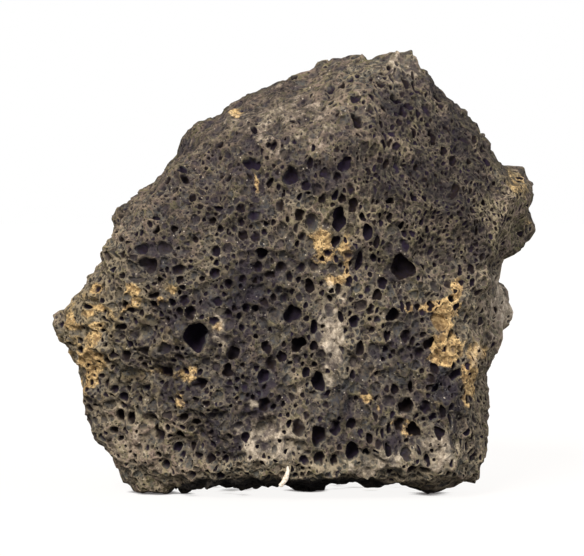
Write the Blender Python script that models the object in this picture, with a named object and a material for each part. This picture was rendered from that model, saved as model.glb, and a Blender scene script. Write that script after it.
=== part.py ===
"""A hand-sized block of lava rock: one solid stone, broken out of a frothy flow and full of gas bubbles.

The stone is star-shaped about its core: in every direction from the core the surface lies at one
radius, which is the soft minimum of its fracture planes and of its outline as seen from the front.
Lumps, ledges and feet are added to that radius, and the larger broken bubbles are cut out of the body.
X runs along the broad front face, -Y looks out of it and +Z is up. The stone rests on four feet at
z = 0, and the middle of its bounding box stands over the origin.
"""

import math

import bmesh
import bpy
import numpy as np
from mathutils import Matrix, Vector

MM = 0.001

# Driving dimensions, in millimetres.
CORE = (-0.3, -1.1, 41.1)  # the point from which every radius is measured
EDGE_SHARPNESS = 26.0  # exponent of the soft minimum: higher makes crisper edges between planes

# The outline as seen from the front: corners (x, z) around the core, counter-clockwise from the
# right, on the deepest section of the stone.
OUTLINE = (
    (45.4, 42.9), (46.2, 37.4), (43.3, 30.9), (41.0, 24.6), (41.6, 20.5), (40.8, 11.2),
    (40.9, 7.0), (39.6, 1.7), (37.0, -1.5), (22.0, -2.3), (-8.0, -2.3), (-30.0, -2.1),
    (-35.6, -1.5), (-37.3, 4.6), (-38.8, 8.0), (-41.4, 10.5), (-44.3, 15.8), (-43.9, 21.6),
    (-46.4, 28.0), (-49.1, 32.0), (-50.5, 34.8), (-49.8, 37.3), (-46.2, 39.6), (-43.5, 42.5),
    (-42.2, 45.6), (-40.0, 47.4), (-38.6, 53.2), (-39.0, 57.2), (-36.3, 59.4), (-34.2, 61.7),
    (-31.0, 63.2), (-28.2, 65.2), (-27.0, 67.4), (-24.4, 69.6), (-23.8, 72.4), (-21.9, 75.4),
    (-18.5, 77.7), (-14.9, 79.1), (-11.2, 82.3), (-7.8, 84.3), (-3.8, 85.0), (1.0, 88.0),
    (4.6, 88.4), (5.2, 90.1), (11.0, 90.7), (14.4, 91.5), (15.6, 90.2), (19.4, 90.6),
    (22.1, 92.6), (24.8, 92.0), (26.6, 88.6), (29.4, 86.2), (31.8, 82.4), (35.4, 80.0),
    (37.7, 77.3), (40.5, 73.9), (40.6, 72.1), (43.5, 69.1), (45.2, 67.9), (48.6, 67.6),
    (50.8, 64.8), (51.4, 61.6), (50.6, 58.6), (51.9, 55.1), (51.2, 51.8), (48.6, 49.9),
    (45.6, 49.2), (44.0, 47.2), (43.3, 45.0), (42.4, 44.1), (44.2, 43.2),
)
OUTLINE_INSET = 0.45  # the lumps that are added stand this far out of the outline
LEAST_OUTLINE_SHARE = 0.3  # what the outline keeps of the soft minimum where the planes lie inside it
OUTLINE_DETAIL_WIDTH = 0.34  # how far the outline's small steps reach round the stone, in radians
OUTLINE_SWERVE = 0.28  # the most that the outline is turned about the core off its section, in radians
OUTLINE_COARSE_STEPS = 26  # directions of the smoother outline that carries on round the stone

# Fracture planes: outward normal, and the distance from the core. Names say which side each makes.
FRACTURES = {
    "front": ((0.05, -0.997, -0.04), 30.5),
    "front_low_left": ((-0.47, -0.84, -0.27), 38.5),
    "front_left_corner": ((-0.80, -0.60, 0.04), 46.5),
    "upper_left_slope": ((-0.298, -0.366, 0.881), 41.5),
    "upper_left_front": ((-0.26, -0.86, 0.44), 38.6),
    "upper_right_slope": ((0.498, -0.697, 0.516), 43.4),
    "right_flank": ((0.84, -0.54, -0.08), 45.5),
    "front_lower_edge": ((0.02, -0.31, -0.95), 43.6),
    "underside": ((0.0, 0.0, -1.0), 39.3),
    "back": ((-0.14, 0.975, 0.17), 29.5),
    "back_left": ((-0.72, 0.66, -0.20), 39.0),
    "back_right": ((0.66, 0.70, -0.28), 42.0),
    "back_top": ((0.10, 0.62, 0.78), 42.0),
    "back_top_left": ((-0.62, 0.47, 0.63), 43.5),
    "back_low": ((0.05, 0.72, -0.69), 46.0),
}

# Scoops where smaller pieces broke away: the direction from the core, the distance to the scoop's
# floor along it, and the radius of the hollow.
SCOOPS = (
    ((0.30, 0.94, 0.12), 27.5, 24.0),
    ((-0.45, 0.80, 0.38), 32.0, 22.0),
    ((0.15, 0.80, -0.58), 37.0, 16.0),
    ((0.80, 0.42, 0.44), 44.0, 18.0),
    ((0.93, 0.36, -0.10), 41.0, 15.0),
    ((-0.90, 0.40, 0.02), 42.5, 17.0),
    ((-0.55, -0.10, 0.83), 42.8, 20.0),
    ((0.22, 0.42, 0.88), 42.5, 15.0),
    ((-0.62, -0.74, 0.26), 42.5, 16.0),
    ((0.62, -0.76, 0.18), 38.8, 20.0),
)

# Lumps on the fracture planes: the height and wavelength of each kind.
SWELL_HEIGHT, SWELL_LENGTH = 1.3, 21.0
SCALLOP_HEIGHT, SCALLOP_LENGTH = 2.0, 10.5
GRAIN_HEIGHT, GRAIN_LENGTH = 0.5, 4.6
CALM = 0.7  # share of them that is left out along the outline and under the stone

# Feet: (x, y) of the middle, radius, and how far each stands out of the underside.
FEET = (
    (-27.5, -11.0, 9.0, 4.2),
    (3.4, -7.3, 4.8, 4.0),
    (29.0, -14.0, 5.0, 3.8),
    (8.0, 18.0, 10.0, 4.2),
)

FOOT_ROUNDNESS = 0.7  # exponent of a foot's profile: lower is blunter
FOOT_TOP = 12.0  # height over the floor above which a foot no longer shows

# The largest broken bubbles in the front face: (x, z), width, height, turn in degrees, share of depth.
FRONT_BUBBLES = (
    (-19.3, 33.6, 5.2, 6.2, 20, 0.95),
    (21.8, 47.2, 4.6, 4.4, 0, 0.9),
    (8.9, 56.9, 2.8, 4.6, -8, 0.9),
    (-29.3, 48.2, 4.4, 3.0, -10, 0.55),
    (-6.3, 50.1, 2.6, 2.2, 10, 0.9),
    (5.0, 24.8, 2.4, 4.6, 6, 1.0),
    (5.0, 13.5, 3.0, 4.4, 10, 0.75),
    (11.8, 10.3, 2.8, 3.8, -16, 1.0),
    (-0.2, 38.1, 3.4, 3.4, -25, 0.95),
    (1.0, 32.0, 3.0, 3.4, 0, 1.0),
    (-12.2, 30.2, 2.6, 3.0, -15, 1.0),
    (-13.3, 26.7, 2.2, 2.2, 0, 0.95),
    (19.7, 37.9, 2.4, 3.0, 0, 1.0),
    (22.6, 19.2, 3.4, 3.2, 0, 0.8),
    (24.6, 14.1, 3.0, 2.8, 0, 0.85),
    (-35.9, 16.1, 2.2, 2.8, 0, 1.0),
    (-26.6, 26.0, 4.2, 3.0, -8, 0.55),
    (-34.2, 24.6, 5.2, 3.0, 12, 0.5),
    (-28.8, 12.1, 3.4, 2.8, 0, 0.75),
    (-22.6, 12.4, 2.2, 2.6, 0, 0.95),
    (-30.2, 30.3, 3.2, 2.4, 0, 0.5),
    (-25.8, 31.2, 3.2, 2.4, 0, 0.5),
    (-0.8, 66.1, 3.6, 2.8, 25, 0.7),
    (-8.2, 68.2, 3.2, 2.6, 15, 0.7),
    (12.9, 77.4, 2.6, 3.6, 0, 0.7),
    (21.4, 82.1, 2.8, 3.0, 0, 0.8),
    (28.8, 74.1, 2.0, 3.6, 0, 0.9),
    (10.3, 68.2, 2.6, 2.8, 0, 0.6),
    (29.8, 36.2, 3.6, 3.6, 0, 0.45),
    (14.7, 54.5, 2.0, 3.6, 0, 0.9),
)

# Smaller and hidden broken bubbles, sown all over with a fixed seed.
SOWN_BUBBLES = 100
BUBBLE_SEED = 11
BUBBLE_WIDTHS = (2.9, 6.4)  # narrowest and widest
WALL_BETWEEN_BUBBLES = 0.7
LOWEST_BUBBLE = 4.5  # height of the lowest bubble's middle over the floor
ROUND_BUBBLE_WIDTH = 4.4  # wider bubbles get the finer ball

STONE_SUBDIVISIONS = 5  # 5120 triangles, before the flatter stretches are thinned
STONE_THINNING = 0.5  # share of those triangles that is kept
FINE_BALL, COARSE_BALL = 2, 1  # subdivisions of the balls that cut the bubbles
FLOOR_BLOCK_SIDE = 200.0
FLOOR_BLOCK_DEPTH = 20.0

# The pale fleck of root caught over the front face's lower edge: points (x, z) down its length, with
# its width there, and the distance of its middle from the stone behind it.
FLECK_LINE = ((-0.9, 6.9, 0.45), (-0.8, 6.0, 0.6), (-1.1, 5.0, 0.85), (-1.9, 4.0, 1.0), (-2.8, 3.2, 0.7))
FLECK_STAND_OFF = 0.9

STONE_COLOUR = (0.105, 0.092, 0.078)
FLECK_COLOUR = (0.75, 0.66, 0.55)


def unit(vectors):
    """Each row scaled to length 1."""
    return vectors / np.linalg.norm(vectors, axis=-1, keepdims=True)


def lattice_noise(points, wavelength, seed):
    """Smooth noise from -1 to 1: random values on a cubic lattice, blended by quintic steps."""
    scaled = points / wavelength + seed * 17.31
    cell = np.floor(scaled).astype(np.int64)
    inside = scaled - cell
    blend = inside**3 * (inside * (inside * 6 - 15) + 10)
    total = np.zeros(len(points))
    for corner in range(8):
        step = np.array((corner & 1, corner >> 1 & 1, corner >> 2 & 1))
        at = cell + step
        mixed = at[:, 0] * 73856093 ^ at[:, 1] * 19349663 ^ at[:, 2] * 83492791 ^ seed * 2654435
        mixed = (mixed ^ mixed >> 13) * 1274126177 & 0x7FFFFFFF
        mixed = (mixed ^ mixed >> 15) * 668265263 & 0x7FFFFFFF
        weight = np.prod(np.where(step, blend, 1 - blend), axis=1)
        total += weight * (mixed / 0x3FFFFFFF - 1)
    return total


def outline_radius(angle):
    """Distance from the core to the outline at these angles in the XZ plane, straight between corners."""
    corners = np.array(OUTLINE) - (CORE[0], CORE[2])
    angles = np.arctan2(corners[:, 1], corners[:, 0])
    order = np.argsort(angles)
    radii = np.hypot(corners[:, 0], corners[:, 1]) - OUTLINE_INSET
    return np.interp(angle, angles[order], radii[order], period=2 * np.pi)


def coarse_outline_radius(angle):
    """The outline with its small steps smoothed away, a little inside the detailed one."""
    steps = np.linspace(-np.pi, np.pi, OUTLINE_COARSE_STEPS, endpoint=False)
    window = np.linspace(-0.12, 0.12, 7)
    radii = outline_radius((steps[:, None] + window).ravel()).reshape(-1, len(window)).min(axis=1)
    return 0.985 * np.interp(angle, steps, radii, period=2 * np.pi)


def fracture_total(directions):
    """Sum over the fracture planes of (1 / radius of the plane in each direction) to the edge exponent."""
    total = np.zeros(len(directions))
    for normal, distance in FRACTURES.values():
        facing = np.clip(directions @ (np.array(normal) / np.linalg.norm(normal)), 0, None)
        total += (facing / distance) ** EDGE_SHARPNESS
    return total


def scoop_radius(directions):
    """Radius at which each direction first meets a scoop's ball: endless where it meets none."""
    nearest = np.full(len(directions), np.inf)
    for way, floor, size in SCOOPS:
        middle = (floor + size) * np.array(way) / np.linalg.norm(way)
        along = directions @ middle
        reach = size**2 - (middle @ middle - along**2)
        meets = (reach > 0) & (along > 0)
        nearest[meets] = np.minimum(nearest[meets], along[meets] - np.sqrt(reach[meets]))
    return nearest


def stone_radius(directions):
    """Radius from the core, in mm: the soft minimum of planes and outline, plus lumps and ledges."""
    angle = np.arctan2(directions[:, 2], directions[:, 0])
    across = np.hypot(directions[:, 0], directions[:, 2])
    # The deepest section wanders forwards and back, so that the stone isn't a flat-sided slab.
    section = 0.10 * np.sin(angle + 0.6) + 0.16 * np.sin(3 * angle + 1.1)  # radians towards the back
    from_section = np.arctan2(directions[:, 1], across) - section
    detail = np.exp(-((from_section / OUTLINE_DETAIL_WIDTH) ** 2))
    # Away from it the outline's steps swerve, so that none of them runs straight round the stone.
    angle += (1 - detail) * OUTLINE_SWERVE * lattice_noise(directions * CORE[2], 17.0, 2)
    outline = detail * outline_radius(angle) + (1 - detail) * coarse_outline_radius(angle)
    # On the section itself, outline and planes together come to the outline's own radius.
    level = np.cos(section)
    at_section = np.stack((level * np.cos(angle), np.sin(section), level * np.sin(angle)), axis=1)
    whole = (level / outline) ** EDGE_SHARPNESS
    outline_share = np.maximum(whole - fracture_total(at_section), LEAST_OUTLINE_SHARE * whole)
    total = outline_share * (across / level) ** EDGE_SHARPNESS + fracture_total(directions)
    radius = np.minimum(total ** (-1 / EDGE_SHARPNESS), scoop_radius(directions))
    places = directions * radius[:, None]
    free = 1 - CALM * detail  # the outline's own steps stay true
    free *= 1 - CALM * np.clip(-4 * directions[:, 2] - 2.6, 0, 1)  # and the underside stays level
    radius += free * SWELL_HEIGHT * lattice_noise(places, SWELL_LENGTH, 3)
    # The scallops' crests are sharp and their hollows rounded, as where a froth tears.
    radius += free * SCALLOP_HEIGHT * (0.3 - np.abs(lattice_noise(places, SCALLOP_LENGTH, 5)))
    radius += free * GRAIN_HEIGHT * lattice_noise(places, GRAIN_LENGTH, 8)
    return radius


def with_feet(points):
    """Lowers the underside into its feet: each is a rounded hump, which fades out up the stone's sides."""
    lowered = points.copy()
    for x, y, reach, height in FEET:
        away = np.hypot(points[:, 0] - x, points[:, 1] - y) / reach
        hump = np.clip(1 - away**2, 0, None) ** FOOT_ROUNDNESS
        near_floor = np.clip(1 - points[:, 2] / FOOT_TOP, 0, 1)
        lowered[:, 2] -= height * hump * near_floor
    return lowered


def surface_points(directions):
    """The bare stone's surface in these directions from the core, in mm."""
    return with_feet(np.array(CORE) + directions * stone_radius(directions)[:, None])


def surface_frame(direction):
    """(point, outward normal) of the bare stone in one direction from the core."""
    side = unit(np.cross(direction, (0.31, 0.22, 0.93)))
    other = np.cross(direction, side)
    reach = 0.05
    ring = unit(np.array((direction, direction + reach * side, direction - reach * side,
                          direction + reach * other, direction - reach * other)))
    points = surface_points(ring)
    normal = unit(np.cross(points[1] - points[2], points[3] - points[4]))
    return points[0], normal * np.sign(normal @ direction)


def front_direction(x, z):
    """Direction from the core to the front surface at this x and z, by halving the stretch of Y it is in."""
    outside, inside = -48.0, 0.0
    for _ in range(20):
        middle = 0.5 * (outside + inside)
        away = np.array((x, middle, z)) - CORE
        length = np.linalg.norm(away)
        if length > stone_radius(away[None] / length)[0]:
            outside = middle
        else:
            inside = middle
    return away / length


def bubble_matrix(point, normal, width, height, turn, depth_share):
    """Places a unit sphere as a broken bubble: its long axis lies near Z, and it opens along normal."""
    upright = Vector((0.0, 0.0, 1.0))
    if abs(normal[2]) > 0.9:
        upright = Vector((1.0, 0.0, 0.0))
    out = Vector(normal)
    up = (upright - upright.dot(out) * out).normalized()
    up.rotate(Matrix.Rotation(math.radians(turn), 3, out))
    side = up.cross(out)
    depth = 0.5 * (width + height) * depth_share
    turned = Matrix((side, up, out)).transposed().to_4x4()
    sized = Matrix.Diagonal((0.5 * width, 0.5 * height, 0.5 * depth, 1.0))
    return Matrix.Translation(Vector(point) - out * 0.12 * depth) @ turned @ sized


def sow_bubbles(taken):
    """Bubbles all over the stone, kept clear of the feet and of each other: (width, matrix) for each."""
    random = np.random.default_rng(BUBBLE_SEED)
    narrow, wide = BUBBLE_WIDTHS
    bubbles = []
    while len(bubbles) < SOWN_BUBBLES:
        direction = unit(random.normal(size=3))
        width = narrow + (wide - narrow) * random.random() ** 2.2
        height = width * random.uniform(0.8, 1.5)
        turn, share = random.uniform(-25, 25), random.uniform(0.55, 0.95)
        point, normal = surface_frame(direction)
        gaps = [np.linalg.norm(point - place) - size - 0.5 * max(width, height) for place, size in taken]
        if point[2] < LOWEST_BUBBLE or min(gaps) < WALL_BETWEEN_BUBBLES:
            continue
        taken.append((point, 0.5 * max(width, height)))
        bubbles.append((width, bubble_matrix(point, normal, width, height, turn, share)))
    return bubbles


def all_bubbles():
    """All broken bubbles as (width, matrix): the named ones of the front face, then the sown ones."""
    bubbles, taken = [], []
    for x, z, width, height, turn, share in FRONT_BUBBLES:
        point, normal = surface_frame(front_direction(x, z))
        taken.append((point, 0.5 * max(width, height)))
        bubbles.append((width, bubble_matrix(point, normal, width, height, turn, share)))
    return bubbles + sow_bubbles(taken)


def clear_scene():
    """Removes whatever the scene starts with."""
    for thing in list(bpy.data.objects):
        bpy.data.objects.remove(thing)


def new_collection(name):
    """A collection linked under the scene's own."""
    collection = bpy.data.collections.new(name)
    bpy.context.scene.collection.children.link(collection)
    return collection


def new_material(name, colour, roughness):
    """A Principled material of one colour."""
    material = bpy.data.materials.new(name)
    material.use_nodes = True
    shader = material.node_tree.nodes["Principled BSDF"]
    shader.inputs["Base Color"].default_value = (*colour, 1.0)
    shader.inputs["Roughness"].default_value = roughness
    return material


def object_from(shape, name, collection):
    """Puts a bmesh into a new object, with its faces turned outward."""
    bmesh.ops.recalc_face_normals(shape, faces=shape.faces[:])
    mesh = bpy.data.meshes.new(name)
    shape.to_mesh(mesh)
    shape.free()
    thing = bpy.data.objects.new(name, mesh)
    collection.objects.link(thing)
    return thing


def make_cutter(shape, name, collection):
    """A helper object that only cuts: it is left out of renders and drawn as wires."""
    cutter = object_from(shape, name, collection)
    cutter.hide_render = True
    cutter.display_type = "WIRE"
    return cutter


def make_floor_block(collection):
    """The block under z = 0 that cuts the feet flat."""
    shape = bmesh.new()
    size = Matrix.Diagonal((FLOOR_BLOCK_SIDE, FLOOR_BLOCK_SIDE, FLOOR_BLOCK_DEPTH, 1.0))
    place = Matrix.Translation((0, 0, -0.5 * FLOOR_BLOCK_DEPTH)) @ size
    bmesh.ops.create_cube(shape, size=1.0, matrix=Matrix.Scale(MM, 4) @ place)
    return make_cutter(shape, "floor_block", collection)


def make_bubble_balls(collection):
    """One helper object that holds every bubble as an icosphere."""
    shape = bmesh.new()
    for width, matrix in all_bubbles():
        steps = FINE_BALL if width > ROUND_BUBBLE_WIDTH else COARSE_BALL
        sized = Matrix.Scale(MM, 4) @ matrix
        bmesh.ops.create_icosphere(shape, subdivisions=steps, radius=1.0, matrix=sized)
    return make_cutter(shape, "bubble_balls", collection)


def cut_away(stone, cutter):
    """Takes the cutter out of the stone. The cutter's own balls may overlap each other."""
    cut = stone.modifiers.new(cutter.name, "BOOLEAN")
    cut.operation = "DIFFERENCE"
    cut.solver = "EXACT"
    cut.use_self = True
    cut.object = cutter


def make_stone(collection, helpers):
    """An icosphere drawn out to the stone's surface and thinned, less its bubbles and the floor."""
    shape = bmesh.new()
    bmesh.ops.create_icosphere(shape, subdivisions=STONE_SUBDIVISIONS, radius=1.0)
    directions = unit(np.array([vertex.co[:] for vertex in shape.verts]))
    for vertex, place in zip(shape.verts, surface_points(directions) * MM):
        vertex.co = place
    stone = object_from(shape, "lava_rock", collection)
    thin = stone.modifiers.new("thin_flatter_stretches", "DECIMATE")
    thin.ratio = STONE_THINNING
    cut_away(stone, make_bubble_balls(helpers))
    cut_away(stone, make_floor_block(helpers))
    stone.data.materials.append(new_material("basalt", STONE_COLOUR, 0.9))


def make_fleck(collection):
    """The fleck of root: a short tapering curve that stands just off the stone, its ends closed."""
    line = bpy.data.curves.new("pale_fleck", "CURVE")
    line.dimensions = "3D"
    line.bevel_depth = 0.5 * MM
    line.bevel_resolution = 1
    line.use_fill_caps = True
    spline = line.splines.new("POLY")
    spline.points.add(len(FLECK_LINE) - 1)
    front = min(surface_points(front_direction(x, z)[None])[0, 1] for x, z, width in FLECK_LINE)
    for point, (x, z, width) in zip(spline.points, FLECK_LINE):
        point.co = (x * MM, (front - FLECK_STAND_OFF) * MM, z * MM, 1.0)
        point.radius = width
    fleck = bpy.data.objects.new("pale_fleck", line)
    collection.objects.link(fleck)
    line.materials.append(new_material("root", FLECK_COLOUR, 0.7))


def build():
    """The whole object: the stone, and the fleck on its front."""
    clear_scene()
    parts = new_collection("lava_rock_parts")
    helpers = new_collection("cutters")
    make_stone(parts, helpers)
    make_fleck(parts)


build()
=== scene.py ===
"""Looks of a lava rock: a dark stone broken out of a frothy flow, with thousands of open gas bubbles.

The stone's surface is a function of two parameters, which give the direction seen from its core. It is
worked out in layers, each on whole arrays: the broken form that the CAD solid also has, then broad
shallow hollows, then the open pores, which are bubbles cut by the surface. The parameters are sampled
where the shape needs them, on rings down the wall of every pore and evenly between the pores, and are
joined up by a Delaunay triangulation of the parameter plane. A regular grid would step across the rims.
Lengths are millimetres until a mesh is made.
"""

import math

import bpy
import numpy as np
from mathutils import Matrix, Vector
from mathutils.geometry import delaunay_2d_cdt
from mathutils.kdtree import KDTree


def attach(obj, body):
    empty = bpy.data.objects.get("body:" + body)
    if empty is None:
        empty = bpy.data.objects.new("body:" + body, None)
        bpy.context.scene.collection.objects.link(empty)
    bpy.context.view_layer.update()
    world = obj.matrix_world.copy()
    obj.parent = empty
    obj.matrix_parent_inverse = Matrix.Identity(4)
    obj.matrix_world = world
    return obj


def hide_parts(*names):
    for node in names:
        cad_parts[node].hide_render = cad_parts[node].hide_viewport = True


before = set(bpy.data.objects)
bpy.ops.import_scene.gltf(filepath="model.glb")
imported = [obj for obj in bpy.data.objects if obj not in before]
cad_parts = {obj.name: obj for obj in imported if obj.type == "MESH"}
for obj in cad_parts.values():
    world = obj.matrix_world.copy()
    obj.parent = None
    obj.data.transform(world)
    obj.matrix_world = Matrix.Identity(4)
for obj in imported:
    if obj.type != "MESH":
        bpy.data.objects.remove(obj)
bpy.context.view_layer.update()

MM = 0.001

# The form of the broken stone, as the CAD solid has it.
CORE = (-0.3, -1.1, 41.1)  # the point from which every radius is measured
EDGE_SHARPNESS = 26.0  # exponent of the soft minimum: higher makes crisper edges between planes

# The outline as seen from the front: corners (x, z) around the core, counter-clockwise from the
# right, on the deepest section of the stone.
OUTLINE = (
    (44.9, 42.6), (46.3, 37.0), (45.0, 33.6), (43.3, 30.4), (40.8, 24.6), (41.2, 20.5), (40.3, 11.2),
    (40.3, 7.0), (38.2, 2.6), (35.0, -0.8), (22.0, -2.3), (-8.0, -2.3), (-30.0, -2.1), (-34.0, -1.5),
    (-36.2, 4.6), (-38.4, 8.0), (-41.4, 10.5), (-44.3, 15.8), (-43.9, 21.6), (-46.4, 28.0), (-49.1, 32.0),
    (-50.5, 34.8), (-49.2, 37.0), (-46.4, 39.8), (-43.2, 42.7), (-42.2, 44.6), (-41.2, 46.3),
    (-39.6, 47.4), (-38.2, 53.2), (-38.8, 57.2), (-36.3, 59.4), (-34.2, 61.4), (-31.0, 62.7),
    (-28.0, 65.0), (-27.2, 67.5), (-24.9, 69.9), (-24.4, 72.7), (-22.4, 75.9), (-18.8, 78.0),
    (-15.0, 79.2), (-11.4, 82.5), (-7.8, 84.0), (-3.8, 84.4), (1.0, 86.9), (4.6, 88.1), (5.2, 89.9),
    (11.0, 90.7), (14.4, 91.5), (15.8, 90.8), (18.8, 91.0), (22.1, 92.6), (24.8, 92.0), (26.6, 88.6),
    (29.4, 86.2), (31.8, 82.4), (35.4, 80.0), (37.7, 77.3), (40.5, 73.9), (40.6, 72.1), (43.5, 69.1),
    (45.2, 67.9), (48.6, 67.6), (50.4, 64.6), (51.4, 61.6), (50.6, 58.6), (51.9, 55.1), (51.0, 52.2),
    (48.3, 50.5), (45.3, 49.8), (43.7, 47.5), (43.2, 45.0), (42.4, 44.1), (43.8, 43.3),
)
OUTLINE_INSET = 0.7  # the lumps that are added stand this far out of the outline
LEAST_OUTLINE_SHARE = 0.3  # what the outline keeps of the soft minimum where the planes lie inside it
OUTLINE_DETAIL_WIDTH = 0.34  # how far the outline's small steps reach round the stone, in radians
# The most that the outline is turned about the core off its section, in radians, and over what length.
OUTLINE_SWERVE, OUTLINE_SWERVE_LENGTH = 0.28, 17.0
# The smoother outline that carries on round the stone: how many directions it has, the angle to each
# side in which it takes the least radius, the steps looked at there, and the share that is kept.
ROUND_STEPS, ROUND_REACH, ROUND_LOOKS, ROUND_SHARE = 26, 0.12, 7, 0.985
# How the deepest section wanders forwards and back: radians, waves round the stone, and phase.
SECTION_WAVES = ((0.10, 1, 0.6), (0.16, 3, 1.1))

# Fracture planes: outward normal, and the distance from the core. Names say which side each makes.
FRACTURES = {
    "front": ((0.05, -0.997, -0.04), 30.5),
    "front_low_left": ((-0.47, -0.84, -0.27), 38.5),
    "front_left_corner": ((-0.80, -0.60, 0.04), 46.5),
    "upper_left_slope": ((-0.298, -0.366, 0.881), 41.5),
    "upper_left_front": ((-0.26, -0.86, 0.44), 38.6),
    "upper_right_slope": ((0.498, -0.697, 0.516), 43.4),
    "right_flank": ((0.84, -0.54, -0.08), 45.5),
    "front_lower_edge": ((0.02, -0.31, -0.95), 44.1),
    "underside": ((0.0, 0.0, -1.0), 39.3),
    "back": ((-0.14, 0.975, 0.17), 29.5),
    "back_left": ((-0.72, 0.66, -0.20), 39.0),
    "back_right": ((0.66, 0.70, -0.28), 42.0),
    "back_top": ((0.10, 0.62, 0.78), 42.0),
    "back_top_left": ((-0.62, 0.47, 0.63), 43.5),
    "back_low": ((0.05, 0.72, -0.69), 46.0),
}

# Scoops where smaller pieces broke away: the direction from the core, the distance to the scoop's
# floor along it, and the radius of the hollow.
SCOOPS = (
    ((0.3, 0.94, 0.12), 27.5, 24.0), ((-0.45, 0.8, 0.38), 32.0, 22.0), ((0.15, 0.8, -0.58), 37.0, 16.0),
    ((0.8, 0.42, 0.44), 44.0, 18.0), ((0.93, 0.36, -0.1), 41.0, 15.0), ((-0.9, 0.4, 0.02), 42.5, 17.0),
    ((-0.55, -0.1, 0.83), 42.8, 20.0), ((0.22, 0.42, 0.88), 42.5, 15.0),
    ((-0.62, -0.74, 0.26), 42.5, 16.0), ((0.62, -0.76, 0.18), 38.8, 20.0),
)

# Lumps on the fracture planes: the height and wavelength of each kind.
SWELL_HEIGHT, SWELL_LENGTH = 1.3, 21.0
SCALLOP_HEIGHT, SCALLOP_LENGTH, SCALLOP_LEVEL = 2.0, 10.5, 0.3
GRAIN_HEIGHT, GRAIN_LENGTH = 0.5, 4.6
CALM = 0.7  # share of them that is left out along the outline and under the stone
UNDERSIDE_RISE, UNDERSIDE_START = 4.0, 2.6  # and how sharply, and how far down, the underside begins

# Feet: (x, y) of the middle, radius, how far each stands out of the underside, and the exponent of
# its profile, which is lower where the foot is blunter.
FEET = (
    (-28.9, -11.5, 5.2, 2.6, 0.45),
    (-22.3, -13.0, 2.0, 2.7, 0.8),
    (3.4, -7.3, 3.9, 2.7, 0.4),
    (28.0, -14.0, 9.0, 2.35, 2.8),
    (8.0, 18.0, 10.0, 4.2, 0.7),
)
FOOT_TOP = 12.0  # height over the floor above which a foot no longer shows
FOOT_RAGGEDNESS, FOOT_GRAIN = 0.4, 2.0  # share of a foot's hump that the noise moves, and its wavelength

# The largest broken bubbles in the front face: (x, z), width, height, turn in degrees, and depth as a
# share of the smaller of width and height.
FRONT_BUBBLES = (
    (-19.3, 33.6, 5.2, 6.2, 20, 0.95), (21.8, 47.2, 4.6, 4.4, 0, 0.9), (8.9, 56.9, 2.8, 4.6, -8, 0.9),
    (-29.3, 48.2, 4.4, 3.0, -10, 0.55), (-6.3, 50.1, 2.6, 2.2, 10, 0.9), (5.0, 24.8, 2.4, 4.6, 6, 1.0),
    (5.0, 13.5, 3.0, 4.4, 10, 0.75), (11.8, 10.3, 2.8, 3.8, -16, 1.0), (-0.2, 38.1, 3.4, 3.4, -25, 0.95),
    (1.0, 32.0, 3.0, 3.4, 0, 1.0), (-12.2, 30.2, 2.6, 3.0, -15, 1.0), (-13.3, 26.7, 2.2, 2.2, 0, 0.95),
    (19.7, 37.9, 2.4, 3.0, 0, 1.0), (22.6, 19.2, 3.4, 3.2, 0, 0.8), (24.6, 14.1, 3.0, 2.8, 0, 0.9),
    (-35.9, 16.1, 2.2, 2.8, 0, 1.0), (-26.6, 25.9, 4.2, 3.4, -8, 0.7), (-33.2, 25.0, 6.6, 4.0, 8, 0.09),
    (-27.5, 13.0, 3.8, 3.0, -10, 0.75), (-22.8, 13.0, 2.0, 2.4, 0, 0.95), (-30.2, 30.3, 3.2, 2.4, 0, 0.5),
    (-25.8, 31.2, 3.2, 2.4, 0, 0.5), (-0.8, 66.1, 3.6, 2.8, 25, 0.7), (-8.2, 68.2, 3.2, 2.6, 15, 0.7),
    (12.9, 77.4, 2.6, 3.6, 0, 0.7), (21.4, 82.1, 2.8, 3.0, 0, 0.8), (28.8, 74.1, 2.0, 3.6, 0, 0.9),
    (10.3, 68.2, 2.6, 2.8, 0, 0.6), (29.8, 36.2, 3.6, 3.6, 0, 0.45), (14.7, 54.5, 2.0, 3.6, 0, 0.9),
)

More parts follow.
